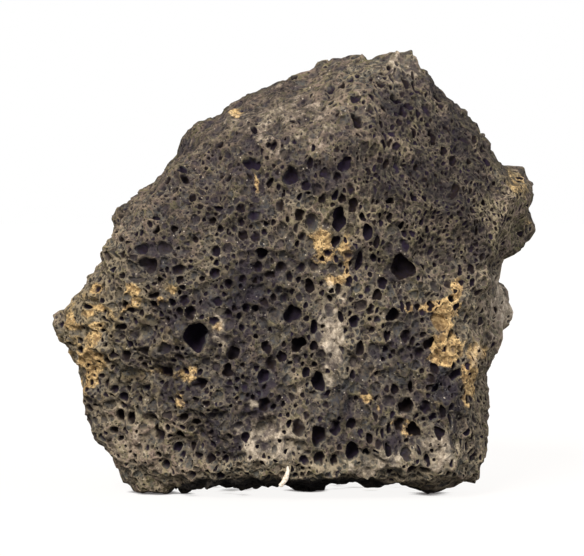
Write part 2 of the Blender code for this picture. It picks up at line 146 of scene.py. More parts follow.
# The next largest, which only the skin has: the same numbers.
LESSER_BUBBLES = (
    (29.8, 18.5, 1.4, 3.4, 20, 1.0), (31.9, 16.5, 1.3, 3.4, 15, 1.0), (18.9, 10.9, 1.5, 2.7, 8, 1.0),
    (22.7, 9.6, 2.2, 2.2, 0, 0.5), (19.4, 14.8, 1.1, 3.0, 0, 0.9), (14.9, 13.6, 1.3, 2.4, 0, 0.9),
    (14.7, 10.0, 1.3, 2.4, 8, 1.0), (11.8, 15.8, 1.8, 3.0, 0, 0.9), (20.2, 22.9, 1.3, 2.4, 0, 0.9),
    (23.6, 23.2, 1.8, 2.2, 0, 0.9), (36.4, 13.6, 1.3, 3.6, 0, 0.9), (29.5, 13.8, 1.9, 2.6, 25, 0.9),
    (34.3, 11.4, 0.9, 2.0, 0, 0.9), (0.8, 52.2, 1.2, 1.6, 0, 1.0), (8.4, 52.7, 1.7, 2.2, 0, 0.9),
    (13.4, 48.7, 1.4, 4.4, -5, 0.9), (16.8, 52.6, 1.2, 2.8, 0, 0.7), (3.1, 43.7, 2.0, 2.8, 0, 0.9),
    (4.1, 47.7, 1.8, 2.0, 0, 0.45), (4.2, 35.6, 1.7, 2.9, 0, 1.0), (4.1, 31.6, 1.5, 2.4, 0, 1.0),
    (9.4, 37.6, 1.1, 3.4, 15, 0.95), (21.6, 39.6, 0.9, 2.6, -8, 0.9), (18.8, 33.6, 1.2, 2.5, -20, 0.95),
    (16.6, 42.0, 1.7, 2.0, 0, 0.8), (-2.5, 29.6, 1.9, 2.6, 0, 0.8), (-5.7, 40.4, 1.6, 1.8, 0, 0.6),
    (-4.7, 45.9, 2.6, 1.4, -25, 0.9), (13.6, 57.4, 1.6, 1.8, 0, 1.0), (7.6, 42.8, 1.0, 1.0, 0, 0.9),
    (-42.1, 39.1, 2.0, 1.2, 0, 0.9), (-44.0, 29.7, 1.7, 1.7, 0, 0.9), (-34.9, 35.2, 4.0, 1.4, 10, 0.9),
    (-33.7, 31.8, 2.0, 1.7, 0, 0.9), (-36.4, 29.3, 2.0, 1.8, 0, 0.9), (-38.2, 37.6, 1.4, 1.2, 0, 0.6),
    (-32.8, 38.5, 1.5, 1.3, 0, 0.9), (-36.6, 20.9, 1.9, 0.8, 0, 1.0), (-30.4, 22.4, 3.2, 1.4, 8, 0.7),
    (-38.0, 18.6, 2.6, 2.2, 0, 0.3), (-19.8, 15.9, 2.0, 1.6, 0, 0.9), (-18.6, 12.8, 1.8, 1.6, 0, 0.5),
    (-22.4, 16.9, 2.4, 1.7, 15, 0.7), (-24.6, 20.5, 2.2, 1.6, -15, 0.6), (-19.8, 20.9, 1.3, 1.1, 0, 1.0),
    (-19.4, 9.4, 1.8, 1.3, 10, 1.0), (-25.6, 17.3, 1.6, 2.0, 0, 0.4), (-28.6, 19.3, 2.2, 2.4, 0, 0.3),
    (-14.9, 72.0, 1.7, 1.6, 0, 0.9), (-4.4, 72.1, 2.0, 1.8, 0, 0.8), (-4.8, 64.6, 1.4, 2.2, 0, 0.95),
    (-2.2, 62.4, 0.9, 1.8, 0, 0.9), (3.9, 71.4, 1.0, 1.9, 0, 1.0), (6.3, 66.3, 2.2, 2.4, 0, 0.5),
    (-13.0, 65.2, 2.2, 1.0, 30, 0.9), (-15.1, 59.5, 1.6, 1.2, 0, 0.9), (7.5, 80.4, 1.3, 1.4, 0, 0.9),
    (-0.2, 77.1, 1.1, 1.1, 0, 0.9), (31.7, 75.1, 1.4, 3.0, 0, 0.95), (24.6, 74.7, 1.2, 2.0, 0, 0.9),
    (35.9, 68.7, 1.2, 1.2, 0, 1.0), (30.5, 70.8, 1.4, 1.8, 0, 0.8), (23.7, 61.2, 1.4, 1.8, 0, 1.0),
    (26.2, 61.2, 1.4, 1.6, 0, 0.8), (19.6, 60.9, 1.4, 1.4, 0, 1.0), (32.6, 63.0, 2.0, 4.0, -30, 0.4),
    (39.1, 60.5, 1.4, 1.4, 0, 0.9), (44.5, 56.6, 1.8, 1.6, 0, 0.6), (41.4, 64.3, 1.4, 0.9, 10, 0.9),
    (25.8, 56.6, 0.9, 2.4, 0, 1.0), (19.4, 57.6, 1.0, 1.6, 0, 0.9), (21.4, 55.6, 1.1, 1.4, 0, 1.0),
    (18.8, 74.3, 1.2, 2.4, -15, 0.8), (17.9, 84.6, 1.3, 2.2, 10, 0.9), (25.4, 83.4, 2.0, 4.0, 0, 0.5),
    (21.1, 78.4, 1.0, 2.2, 0, 0.9), (25.4, 70.6, 2.8, 3.0, 0, 0.25), (34.8, 72.6, 2.2, 2.6, 0, 0.3),
    (19.2, 68.7, 1.6, 2.4, 0, 0.5), (-29.4, 43.6, 1.6, 1.2, 0, 0.9), (-34.8, 53.2, 1.5, 1.2, 0, 0.8),
    (-24.0, 55.4, 1.6, 1.4, 0, 0.8), (37.4, 54.8, 1.1, 1.9, 0, 0.9), (33.8, 46.8, 1.2, 2.4, 0, 0.9),
    (-30.9, 51.4, 2.9, 2.2, 5, 0.6), (-25.9, 51.5, 4.0, 2.6, -5, 0.5), (-28.1, 57.7, 2.2, 1.0, 0, 0.9),
    (-27.9, 55.2, 1.5, 1.7, 0, 0.9), (-36.7, 50.4, 1.6, 2.0, -20, 0.4), (-33.6, 52.6, 1.4, 0.8, 15, 0.8),
    (-36.7, 46.8, 0.9, 1.1, 0, 1.0), (-32.3, 45.1, 3.0, 1.5, -5, 0.4), (-38.3, 43.3, 1.9, 2.4, 0, 0.35),
    (-26.9, 45.1, 1.0, 1.2, 0, 0.9), (-28.0, 41.8, 2.4, 1.5, 10, 0.8), (-24.3, 40.4, 1.6, 1.6, 0, 0.9),
    (20.0, 85.6, 1.3, 2.8, 10, 0.9), (22.9, 84.6, 1.2, 3.4, 5, 0.9), (12.6, 81.4, 2.0, 1.8, 0, 0.6),
    (22.9, 75.6, 1.4, 2.4, 0, 0.9), (15.6, 81.2, 1.6, 1.6, 0, 0.8), (27.6, 79.2, 2.4, 3.2, 0, 0.35),
)

# Two layers of shallow hollows, the second also in the floors of the first: how many there are on the
# front and on the rest, their half widths, their depths in half widths, and the stone between two.
HOLLOW_LAYERS = (
    {"seed": 21, "front": 300, "rest": 400, "half_width": (1.2, 2.6), "depth": (0.25, 0.55), "wall": 0.15},
    {"seed": 22, "front": 900, "rest": 800, "half_width": (0.6, 1.2), "depth": (0.30, 0.65), "wall": 0.12},
)
HOLLOW_DRAWS = 5  # places drawn for each one that is wanted
LEAST_HOLLOW_HEIGHT = 2.5  # of a hollow over the floor
HOLLOW_RINGS = ((1.04, 1.0), (0.82, 0.8))  # rings of points that hold an edge: radius, and how dense
EDGE_DENSITY = 1.6  # points for each mm round it where they are densest
HOLLOW_EDGE = ((0.0, 1, 0.0, 0.0),)  # the ring of such a point, as of a pore
EDGE_BOOKING = (0.13, 0.0, 0.0, 0.0, 1.0)  # and the room that it books

# Open pores, largest first, and last the plain points between them. Each kind has the range of its half
# width and of its depth in half widths, the stone left between it and its neighbours, and how many are
# sown on the front and on the rest. "shy" and "big" are the shares left out where the stone is close
# grained and where its bubbles are small, "swell" is the most that it swells, in its own size, and
# "shallow" the share that is shallow. Its rings are the points down its wall: a ring's radius as seen from
# outside, the points on it, its share of the pore's depth, and the radius that the wall really has there.
PORE_SEED = 5
PORE_KINDS = {
    "cave": {
        "half_width": (1.0, 1.6), "depth": (1.2, 2.0), "wall": 0.25, "shy": 1.0, "front": 0, "rest": 150,
        "swell": 1.15, "shallow": 0.0, "big": 0.9,
        "rings": ((1.0, 14, 0.0, 1.0), (0.88, 12, 0.35, 1.02), (0.62, 9, 0.8, 0.88), (0.3, 4, 1.0, 0.45)),
    },
    "pit": {
        "half_width": (0.5, 0.9), "depth": (0.8, 2.2), "wall": 0.15, "shy": 0.93, "front": 800, "rest": 850,
        "swell": 1.5, "shallow": 0.55, "big": 0.8,
        "rings": ((1.0, 9, 0.0, 1.0), (0.72, 5, 0.55, 1.0), (0.3, 2, 1.0, 0.4)),
    },
    "pore": {
        "half_width": (0.29, 0.52), "depth": (0.8, 2.2), "wall": 0.12, "shy": 0.8, "front": 2500, "rest": 900,
        "swell": 1.4, "shallow": 0.38, "big": 0.1,
        "rings": ((1.0, 7, 0.0, 1.0), (0.5, 3, 0.9, 0.8)),
    },
    "prick": {
        "half_width": (0.17, 0.30), "depth": (1.0, 2.2), "wall": 0.10, "shy": 0.5, "front": 1800, "rest": 0,
        "swell": 1.0, "shallow": 0.0, "big": 0.0,
        "rings": ((1.0, 5, 0.0, 1.0), (0.0, 1, 1.0, 0.0)),
    },
    "plain": {
        "half_width": (0.20, 0.28), "depth": (0.0, 0.0), "wall": 0.0, "shy": 0.0, "front": 9000, "rest": 9000,
        "swell": 1.0, "shallow": 0.0, "big": 0.0, "rings": HOLLOW_EDGE,
    },
}
WALL_ROUGHNESS, WALL_GRAIN = 0.26, 0.9  # of the walls inside: in half widths, and its wavelength
LEAST_DEPTH = 0.05  # of a wall's points under the skin
DRAWS = 8  # places drawn for each one that is wanted
LOWEST_PORE = -0.985  # z of the lowest direction from the core in which a pore is sown
HOLLOW_SWELL = 1.7  # the most that a hollow swells towards its neighbours, in its own size
# Of the listed bubbles: the most that they swell, the least stone between two, how far their edges wave
# in and out, the depth of the deepest in its smaller width, and the rings of the largest and the next.
NAMED_SWELL, NAMED_WALL, NAMED_SWING, NAMED_DEPTH = 1.1, 0.05, (0.10, 0.21), 0.9
NAMED_RINGS = (
    (1.0, 18, 0.0, 1.0), (0.9, 16, 0.3, 1.03), (0.7, 13, 0.65, 0.98), (0.45, 8, 0.92, 0.7),
    (0.2, 4, 1.0, 0.3),
)
LESSER_RINGS = ((1.0, 12, 0.0, 1.0), (0.86, 10, 0.35, 1.02), (0.6, 7, 0.8, 0.9), (0.28, 3, 1.0, 0.45))
SWELL_WALL = 0.16  # stone left between two that have swollen till they meet
SWELL_STEPS = 24  # directions in which a swollen edge is kept
SWELL_NEIGHBOURS = 12  # nearest ones that a shape can meet
SWELL_SHARPNESS = 9.0  # exponent of the soft minimum: higher makes crisper corners
SHALLOW_DEPTH = (0.3, 0.65)  # of the shallow ones among the pores, in half widths
LOBE_SWING = (0.03, 0.15)  # how far an edge waves in and out, in half widths
RELIEF = ((0.85, 3.2, 33), (0.50, 1.4, 34))  # height, wavelength and seed of the fine lumps
MOST_POINTS = 99300  # of the stone's mesh, which has twice as many triangles
CELL = 1.5  # side of the cubes in which sown pores are booked
BOOKED_SWING = 1.2  # share of an edge's waves that its booking takes in
FRONT_LIMIT = -0.2  # y of the directions that count as the front is under this
WIDEST_RADIUS = 54.0  # of the stone from its core
SPARE_DRAWS = 6  # directions drawn for each one that is wanted, so that evenly spread ones can be chosen
BUBBLE_VIEW, HOLLOW_VIEW = 0.992, 0.99  # cosines of angles at the core wider than any bubble or hollow
EDGE_CLEARANCE = 1.07  # how far out of a bubble's edge other points are kept, in its radius
NARROWEST = 0.2  # half width under which a pore is no darker for being narrower
POLE_RING, POLE_REACH = 20, 0.05  # points round the lowest one, and how far they are from it
SAME_PLACE = 1e-10  # distance at which two points of the plane are one


def unit(vectors):
    """Each row scaled to length 1."""
    return vectors / np.linalg.norm(vectors, axis=-1, keepdims=True)


def lattice_noise(points, wavelength, seed):
    """Smooth noise from -1 to 1: values hashed from a cubic lattice's corners, blended by quintic steps."""
    scaled = points / wavelength + seed * 17.31
    cell = np.floor(scaled).astype(np.int64)
    inside = scaled - cell
    blend = inside**3 * (inside * (inside * 6 - 15) + 10)
    total = np.zeros(len(points))
    for corner in range(8):
        step = np.array((corner & 1, corner >> 1 & 1, corner >> 2 & 1))
        at = cell + step
        mixed = at[:, 0] * 73856093 ^ at[:, 1] * 19349663 ^ at[:, 2] * 83492791 ^ seed * 2654435
        mixed = (mixed ^ mixed >> 13) * 1274126177 & 0x7FFFFFFF
        mixed = (mixed ^ mixed >> 15) * 668265263 & 0x7FFFFFFF
        weight = np.prod(np.where(step, blend, 1 - blend), axis=1)
        total += weight * (mixed / 0x3FFFFFFF - 1)
    return total


def outline_radius(angle):
    """Distance from the core to the outline at these angles in the XZ plane, straight between corners."""
    corners = np.array(OUTLINE) - (CORE[0], CORE[2])
    angles = np.arctan2(corners[:, 1], corners[:, 0])
    order = np.argsort(angles)
    radii = np.hypot(corners[:, 0], corners[:, 1]) - OUTLINE_INSET
    return np.interp(angle, angles[order], radii[order], period=2 * np.pi)


def coarse_outline_radius(angle):
    """The outline with its small steps smoothed away, a little inside the detailed one."""
    steps = np.linspace(-np.pi, np.pi, ROUND_STEPS, endpoint=False)
    window = np.linspace(-ROUND_REACH, ROUND_REACH, ROUND_LOOKS)
    radii = outline_radius((steps[:, None] + window).ravel()).reshape(-1, ROUND_LOOKS).min(axis=1)
    return ROUND_SHARE * np.interp(angle, steps, radii, period=2 * np.pi)


def fracture_total(directions):
    """Sum over the fracture planes of (1 / radius of the plane in each direction) to the edge exponent."""
    total = np.zeros(len(directions))
    for normal, distance in FRACTURES.values():
        facing = np.clip(directions @ (np.array(normal) / np.linalg.norm(normal)), 0, None)
        total += (facing / distance) ** EDGE_SHARPNESS
    return total


def scoop_radius(directions):
    """Radius at which each direction first meets a scoop's ball: endless where it meets none."""
    nearest = np.full(len(directions), np.inf)
    for way, floor, size in SCOOPS:
        middle = (floor + size) * np.array(way) / np.linalg.norm(way)
        along = directions @ middle
        reach = size**2 - (middle @ middle - along**2)
        meets = (reach > 0) & (along > 0)
        nearest[meets] = np.minimum(nearest[meets], along[meets] - np.sqrt(reach[meets]))
    return nearest


def stone_radius(directions):
    """Radius from the core, in mm: the soft minimum of planes and outline, plus lumps and ledges."""
    angle = np.arctan2(directions[:, 2], directions[:, 0])
    across = np.hypot(directions[:, 0], directions[:, 2])
    # The deepest section wanders, so that the stone isn't a flat-sided slab.
    section = sum(size * np.sin(waves * angle + phase) for size, waves, phase in SECTION_WAVES)
    from_section = np.arctan2(directions[:, 1], across) - section
    detail = np.exp(-((from_section / OUTLINE_DETAIL_WIDTH) ** 2))
    # Away from it the outline's steps swerve, so that none of them runs straight round the stone.
    angle += (1 - detail) * OUTLINE_SWERVE * lattice_noise(directions * CORE[2], OUTLINE_SWERVE_LENGTH, 2)
    outline = detail * outline_radius(angle) + (1 - detail) * coarse_outline_radius(angle)
    # On the section itself, outline and planes together come to the outline's own radius.
    level = np.cos(section)
    at_section = np.stack((level * np.cos(angle), np.sin(section), level * np.sin(angle)), axis=1)
    whole = (level / outline) ** EDGE_SHARPNESS
    outline_share = np.maximum(whole - fracture_total(at_section), LEAST_OUTLINE_SHARE * whole)
    total = outline_share * (across / level) ** EDGE_SHARPNESS + fracture_total(directions)
    radius = np.minimum(total ** (-1 / EDGE_SHARPNESS), scoop_radius(directions))
    places = directions * radius[:, None]
    free = 1 - CALM * detail  # the outline's own steps stay true
    under = np.clip(-UNDERSIDE_RISE * directions[:, 2] - UNDERSIDE_START, 0, 1)
    free *= 1 - CALM * under  # and the underside stays level
    radius += free * SWELL_HEIGHT * lattice_noise(places, SWELL_LENGTH, 3)
    # The scallops' crests are sharp and their hollows rounded, as where a froth tears.
    radius += free * SCALLOP_HEIGHT * (SCALLOP_LEVEL - np.abs(lattice_noise(places, SCALLOP_LENGTH, 5)))
    radius += free * GRAIN_HEIGHT * lattice_noise(places, GRAIN_LENGTH, 8)
    return radius


def with_feet(points):
    """Lowers the underside into its feet: each is a rounded hump, which fades out up the stone's sides."""
    lowered = points.copy()
    ragged = FOOT_RAGGEDNESS * lattice_noise(points, FOOT_GRAIN, 6)
    for x, y, reach, height, bluntness in FEET:
        away = np.hypot(points[:, 0] - x, points[:, 1] - y) / reach
        hump = (1 + ragged) * np.clip(1 - away**2, 0, None) ** bluntness
        near_floor = np.clip(1 - points[:, 2] / FOOT_TOP, 0, 1)
        lowered[:, 2] -= height * hump * near_floor
    return lowered


def surface_points(directions):
    """The bare stone's surface in these directions from the core, in mm."""
    return with_feet(np.array(CORE) + directions * stone_radius(directions)[:, None])


# ---------------------------------------------------------------- the stone's skin, layer by layer


def frames_at(directions):
    """(points, side, up, out) of the broken form in many directions from the core: a tangent frame at each.

    The normal is the cross product of two short steps over the surface. Up is the part of Z that lies
    in the surface, or of X where the surface is nearly level, and side completes the frame.
    """
    reach = 0.016  # radians of a step
    side = unit(np.cross(directions, (0.31, 0.22, 0.93)))  # any axis will do that few directions are near
    other = np.cross(directions, side)
    steps = [surface_points(unit(directions + reach * way)) for way in (side, -side, other, -other)]
    out = unit(np.cross(steps[0] - steps[1], steps[2] - steps[3]))
    out *= np.sign(np.sum(out * directions, axis=1))[:, None]
    upright = np.where(np.abs(out[:, 2:]) > 0.9, (1.0, 0.0, 0.0), (0.0, 0.0, 1.0))
    up = unit(upright - np.sum(upright * out, axis=1)[:, None] * out)
    return surface_points(directions), np.cross(up, out), up, out


def turned(side, up, turn):
    """Both tangents turned about the normal by turn radians."""
    cos, sin = np.cos(turn)[:, None], np.sin(turn)[:, None]
    return cos * side + sin * up, cos * up - sin * side


def lobed(angle, lobes, swing):
    """Edge radius of a bubble that its neighbours have dented: 1 plus waves of 2, 3 and 5 per turn."""
    two, three, five = lobes
    return 1 + swing * (np.cos(2 * angle + two) + np.cos(3 * angle + three) + 0.6 * np.cos(5 * angle + five))


def edge_radius(shapes, rows, angle):
    """Edge radius of these rows of shapes at these angles: the lobed one times the swelling kept there."""
    step = angle * (SWELL_STEPS / (2 * np.pi))
    low = np.floor(step).astype(int)
    part = step - low
    swell, high = shapes["swell"], low + 1
    swell = (1 - part) * swell[rows, low % SWELL_STEPS] + part * swell[rows, high % SWELL_STEPS]
    return lobed(angle, np.moveaxis(shapes["lobes"][rows], -1, 0), shapes["swing"][rows]) * swell


def ellipse_reach(way, side, up, width, height):
    """How far ellipses reach along ways in their planes, and the ways' lengths and parts in the plane."""
    across, along = np.sum(way * side, axis=-1), np.sum(way * up, axis=-1)
    length = np.hypot(across, along) + 1e-9
    across, along = across / length, along / length
    return 1 / np.hypot(across / width, along / height), length, across, along


def swollen(shapes, most):
    """The shapes with their edges swollen until they meet, as bubbles in a froth press flat on each other.

    An edge grows to the given multiple of its size, but no further than the line halfway between it
    and each neighbour, less half a wall. The soft minimum of these is kept at steps round the edge.
    """
    count = len(shapes["width"])
    tree = KDTree(count)
    for index, place in enumerate(shapes["middle"].tolist()):
        tree.insert(place, index)
    tree.balance()
    near = np.array([[found[1] for found in tree.find_n(place, SWELL_NEIGHBOURS + 1)[1:]]
                     for place in shapes["middle"].tolist()])
    way = shapes["middle"][near] - shapes["middle"][:, None]
    keys = ("side", "up", "width", "height")
    reach, length, across, along = ellipse_reach(way, *(shapes[key][:, None] for key in keys))
    other = ellipse_reach(way, *(shapes[key][near] for key in keys))[0]
    limit = reach + 0.5 * (length - reach - other - SWELL_WALL)
    limit = np.maximum(limit, 0.5 * reach)
    angle = np.broadcast_to(np.arange(SWELL_STEPS) * (2 * np.pi / SWELL_STEPS), (count, SWELL_STEPS))
    edge = edge_radius(shapes, np.arange(count)[:, None], angle)
    x = shapes["width"][:, None] * edge * np.cos(angle)
    z = shapes["height"][:, None] * edge * np.sin(angle)
    radius = np.hypot(x, z) + 1e-9
    total = (1 / (most[:, None] * radius)) ** SWELL_SHARPNESS
    for k in range(SWELL_NEIGHBOURS):
        facing = (across[:, k, None] * x + along[:, k, None] * z) / radius
        total += (np.clip(facing, 0, None) / limit[:, k, None]) ** SWELL_SHARPNESS
    return {**shapes, "swell": total ** (-1 / SWELL_SHARPNESS) / radius}


def reach_towards(way, length, booking):
    """How far a booked ellipse reaches towards another place: its half width, or more along its axis."""
    radius, squeeze, ax, ay, az = booking
    along = (way[0] * ax + way[1] * ay + way[2] * az) / length
    return radius / math.sqrt(1 - squeeze * along * along)


def claim(taken, place, booking, wall):
    """Books an ellipse at a place, in every cube that it touches, unless a neighbour is too near."""
    radius, squeeze = booking[:2]
    reach = radius / math.sqrt(1 - squeeze) + max(0.5 * wall, 0)
    low = [int((value - reach) // CELL) for value in place]
    high = [int((value + reach) // CELL) + 1 for value in place]
    cubes = [(i, j, k) for i in range(low[0], high[0]) for j in range(low[1], high[1])
             for k in range(low[2], high[2])]
    x, y, z = place
    for cube in cubes:
        for (ox, oy, oz), other in taken.get(cube, ()):
            way = (x - ox, y - oy, z - oz)
            length = math.sqrt(way[0] ** 2 + way[1] ** 2 + way[2] ** 2) + 1e-9
            near = reach_towards(way, length, booking) + reach_towards(way, length, other) + wall
            if length < near:
                return False
    for cube in cubes:
        taken.setdefault(cube, []).append(((x, y, z), booking))
    return True


def bookings(pores):
    """Each pore's booking: half width with its lobes, how much its long axis is drawn out, and the axis."""
    tall = pores["height"] >= pores["width"]
    axis = np.where(tall[:, None], pores["up"], pores["side"])
    short = np.minimum(pores["width"], pores["height"])
    squeeze = 1 - (short / np.maximum(pores["width"], pores["height"])) ** 2
    radius = short * (1 + BOOKED_SWING * pores["swing"])
    return np.column_stack((radius, squeeze, axis)).tolist()


def sown_directions(random, count, share_on_front):
    """Directions spread evenly over the stone's surface, with this share of them on its front."""
    drawn = unit(random.normal(size=(count * SPARE_DRAWS, 3)))
    kept = drawn[random.random(len(drawn)) < (stone_radius(drawn) / WIDEST_RADIUS) ** 3]
    front = is_front(kept)
    wanted = int(share_on_front * count)
    mixed = np.concatenate((kept[front][:wanted], kept[~front][: count - wanted]))
    return mixed[random.permutation(len(mixed))]


def is_front(directions):
    """Whether a direction meets the broad front face or the slopes above it."""
    return directions[:, 1] < FRONT_LIMIT


def shaped(directions, width, stretch, turn, random):
    """Ellipses on the broken form as a dict of arrays: place, tangent frame, half sizes, random lobes."""
    middle, side, up, out = frames_at(directions)
    side, up = turned(side, up, turn)
    low, high = LOBE_SWING
    return {
        "direction": directions, "middle": middle, "side": side, "up": up, "out": out,
        "width": width, "height": width * stretch,
        "lobes": random.uniform(0, 2 * np.pi, (len(width), 3)),
        "swing": low + (high - low) * random.random(len(width)) ** 2,
        "swell": np.ones((len(width), SWELL_STEPS)), "tint": random.random(len(width)),
    }


def chosen(shapes, kept):
    """The kept rows of a dict of arrays."""
    return {key: value[kept] for key, value in shapes.items()}


def make_hollows(facts):
    """One layer of hollows, kept apart from one another."""
    random = np.random.default_rng(facts["seed"])
    directions = sown_directions(random, HOLLOW_DRAWS * (facts["front"] + facts["rest"]), 0.5)
    count = len(directions)
    narrow, wide = facts["half_width"]
    width = narrow + (wide - narrow) * random.random(count) ** 1.6
    turn = random.uniform(-0.6, 0.6, count)
    layered = patch_strength(surface_points(directions), "layered")
    stretch = random.uniform(0.75, 1.6, count) * (1 - 0.5 * layered)
    hollows = shaped(directions, width * (1 + 0.3 * layered), stretch, turn, random)
    hollows["depth"] = width * random.uniform(*facts["depth"], count)
    close = patch_strength(hollows["middle"], "close")
    close = np.maximum(close, 0.8 * patch_strength(hollows["middle"], "fine"))
    passed = random.random(count) >= 0.85 * close
    kept = settled({}, hollows, passed & (hollows["middle"][:, 2] > LEAST_HOLLOW_HEIGHT), facts, count)
    return swollen(chosen(hollows, kept), 1 + (HOLLOW_SWELL - 1) * (1 - 0.8 * close[kept]))


def settled(taken, shapes, passed, facts, most):
    """Rows of the shapes that passed and find space, in turn, up to each side's number and most in all."""
    wanted = {True: facts["front"], False: facts["rest"]}
    places, booked, kept = shapes["middle"].tolist(), bookings(shapes), []
    front = is_front(shapes["direction"])
    for row in np.flatnonzero(passed):
        side = bool(front[row])
        if wanted[side] and len(kept) < most and claim(taken, places[row], booked[row], facts["wall"]):
            kept.append(row)
            wanted[side] -= 1
    return kept


def radius_in(shapes, index, points):
    """How far points are from the middle of one shape, in units of its edge."""
    away = points - shapes["middle"][index]
    across = away @ shapes["side"][index] / shapes["width"][index]
    along = away @ shapes["up"][index] / shapes["height"][index]
    return np.hypot(across, along) / edge_radius(shapes, index, np.arctan2(along, across))


def within(shapes, directions, points):
    """Which of the points are inside the swollen edge of any shape, or on it."""
    inside = np.zeros(len(points), dtype=bool)
    for index, way in enumerate(shapes["direction"]):
        here = np.flatnonzero(directions @ way > BUBBLE_VIEW)
        inside[here] |= radius_in(shapes, index, points[here]) < EDGE_CLEARANCE
    return inside


def sunk(directions, points, hollows):
    """Moves the points down into a layer of hollows: (points, share of the hollow's depth at each).

    A hollow's depth is its full depth times 1 - r**3, where r is the distance from its middle in
    units of its lobed edge. Where two meet, the deeper one counts.
    """
    best = np.zeros(len(points))
    share = np.zeros(len(points))
    shift = np.zeros_like(points)
    for index in range(len(hollows["depth"])):
        here = np.flatnonzero(directions @ hollows["direction"][index] > HOLLOW_VIEW)
        r = radius_in(hollows, index, points[here])
        dip = hollows["depth"][index] * np.clip(1 - r**3, 0, None)
        deeper = dip > best[here]
        into = here[deeper]
        best[into] = dip[deeper]
        share[into] = dip[deeper] / hollows["depth"][index]
        shift[into] = -dip[deeper, None] * hollows["out"][index]
    return points + shift, share


def skin(directions):
    """The stone's surface with hollows and fine relief, without pores: points in millimetres."""
    return skin_and_hollow(directions)[0]


def skin_and_hollow(directions):
    """The skin's points, and the share of a hollow's depth at each."""
    points = surface_points(directions)
    share = np.zeros(len(points))
    for hollows in HOLLOWS:
        points, here = sunk(directions, points, hollows)
        share = np.maximum(share, here)
    for height, length, seed in RELIEF:
        points = points + height * lattice_noise(points, length, seed)[:, None] * directions
    points[:, 2] = np.maximum(points[:, 2], 0.0)
    return points, share


# ---------------------------------------------------------------- patches of stain and bloom

# On the front: (x, z) of a patch's middle, its half width and half height, and its strength.
RUST_PATCHES = (
    (-42.6, 32.4, 5.5, 8.5, 0.35), (-34.0, 30.0, 13.0, 14.0, 0.15), (-45.8, 35.2, 2.4, 1.3, 1.0),
    (-41.8, 37.6, 1.4, 0.9, 0.9), (-40.6, 35.0, 0.9, 0.9, 1.0), (-41.5, 32.7, 2.6, 1.4, 1.0),
    (-42.4, 28.4, 2.4, 2.8, 1.0), (-42.2, 24.2, 1.3, 2.2, 1.0), (-40.4, 27.4, 1.0, 2.4, 0.9),
    (-40.6, 38.8, 1.3, 0.9, 0.9), (-40.2, 43.1, 1.3, 1.1, 0.8), (-32.5, 42.9, 1.5, 1.4, 1.0),
    (-31.7, 40.6, 1.2, 0.9, 0.8), (-33.9, 39.6, 1.0, 1.2, 0.8), (-26.5, 40.8, 1.4, 1.1, 0.9),
    (-24.5, 42.9, 1.0, 0.8, 0.8), (-7.5, 64.4, 0.7, 2.0, 0.8), (5.4, 52.6, 2.2, 2.6, 0.9),
    (6.5, 49.5, 2.6, 1.8, 0.8), (10.8, 48.1, 0.8, 3.4, 0.9), (8.8, 44.9, 2.4, 1.0, 0.9),
    (29.4, 39.6, 3.2, 1.5, 1.0), (30.6, 37.0, 2.0, 3.0, 1.0), (31.0, 31.6, 3.4, 3.8, 1.0),
    (33.2, 43.2, 1.1, 2.2, 1.0), (31.2, 28.2, 1.8, 1.4, 1.0), (36.6, 29.8, 2.2, 2.2, 0.8),
    (36.0, 25.2, 2.0, 3.6, 1.0), (33.0, 22.0, 5.0, 8.0, 0.16), (23.1, 39.2, 1.6, 1.2, 0.7),
    (-22.8, 19.7, 1.2, 2.2, 0.6), (-26.9, 25.7, 2.2, 0.9, 0.6), (-21.8, 25.5, 2.4, 1.6, 0.7),
    (-14.8, 35.8, 1.2, 1.2, 0.7), (47.0, 63.8, 3.2, 2.8, 0.45), (49.5, 55.5, 1.6, 2.4, 0.35),
    (-12.0, 78.6, 1.1, 0.7, 0.8), (14.6, 21.1, 0.9, 0.8, 0.9), (17.4, 18.7, 0.7, 0.6, 0.9),
    (23.4, 14.2, 1.6, 1.3, 0.7), (-38.0, 38.0, 3.0, 2.0, 0.4), (20.5, 15.8, 0.9, 0.7, 0.8),
    (-30.5, 20.5, 1.6, 1.0, 0.5),
)
BLOOM_PATCHES = (
    (7.6, 33.6, 2.9, 6.6, 1.0), (-14.8, 33.8, 1.4, 7.0, 0.6), (-4.3, 12.6, 5.8, 6.2, 0.8),
    (29.1, 9.6, 4.8, 4.4, 0.9), (17.0, 7.2, 7.8, 2.8, 0.7), (22.3, 88.4, 4.0, 3.2, 0.65),
    (-1.3, 46.6, 3.2, 2.0, 0.62), (9.0, 43.0, 2.4, 3.4, 0.6), (-34.0, 14.0, 9.0, 8.0, 0.45),
    (-2.0, 77.0, 16.0, 6.0, 0.4), (43.6, 39.0, 3.2, 6.0, 0.9), (36.8, 28.8, 2.4, 2.6, 0.7),
    (43.0, 28.0, 1.8, 6.0, 0.6), (-28.9, 4.5, 8.0, 4.5, 0.42),
)
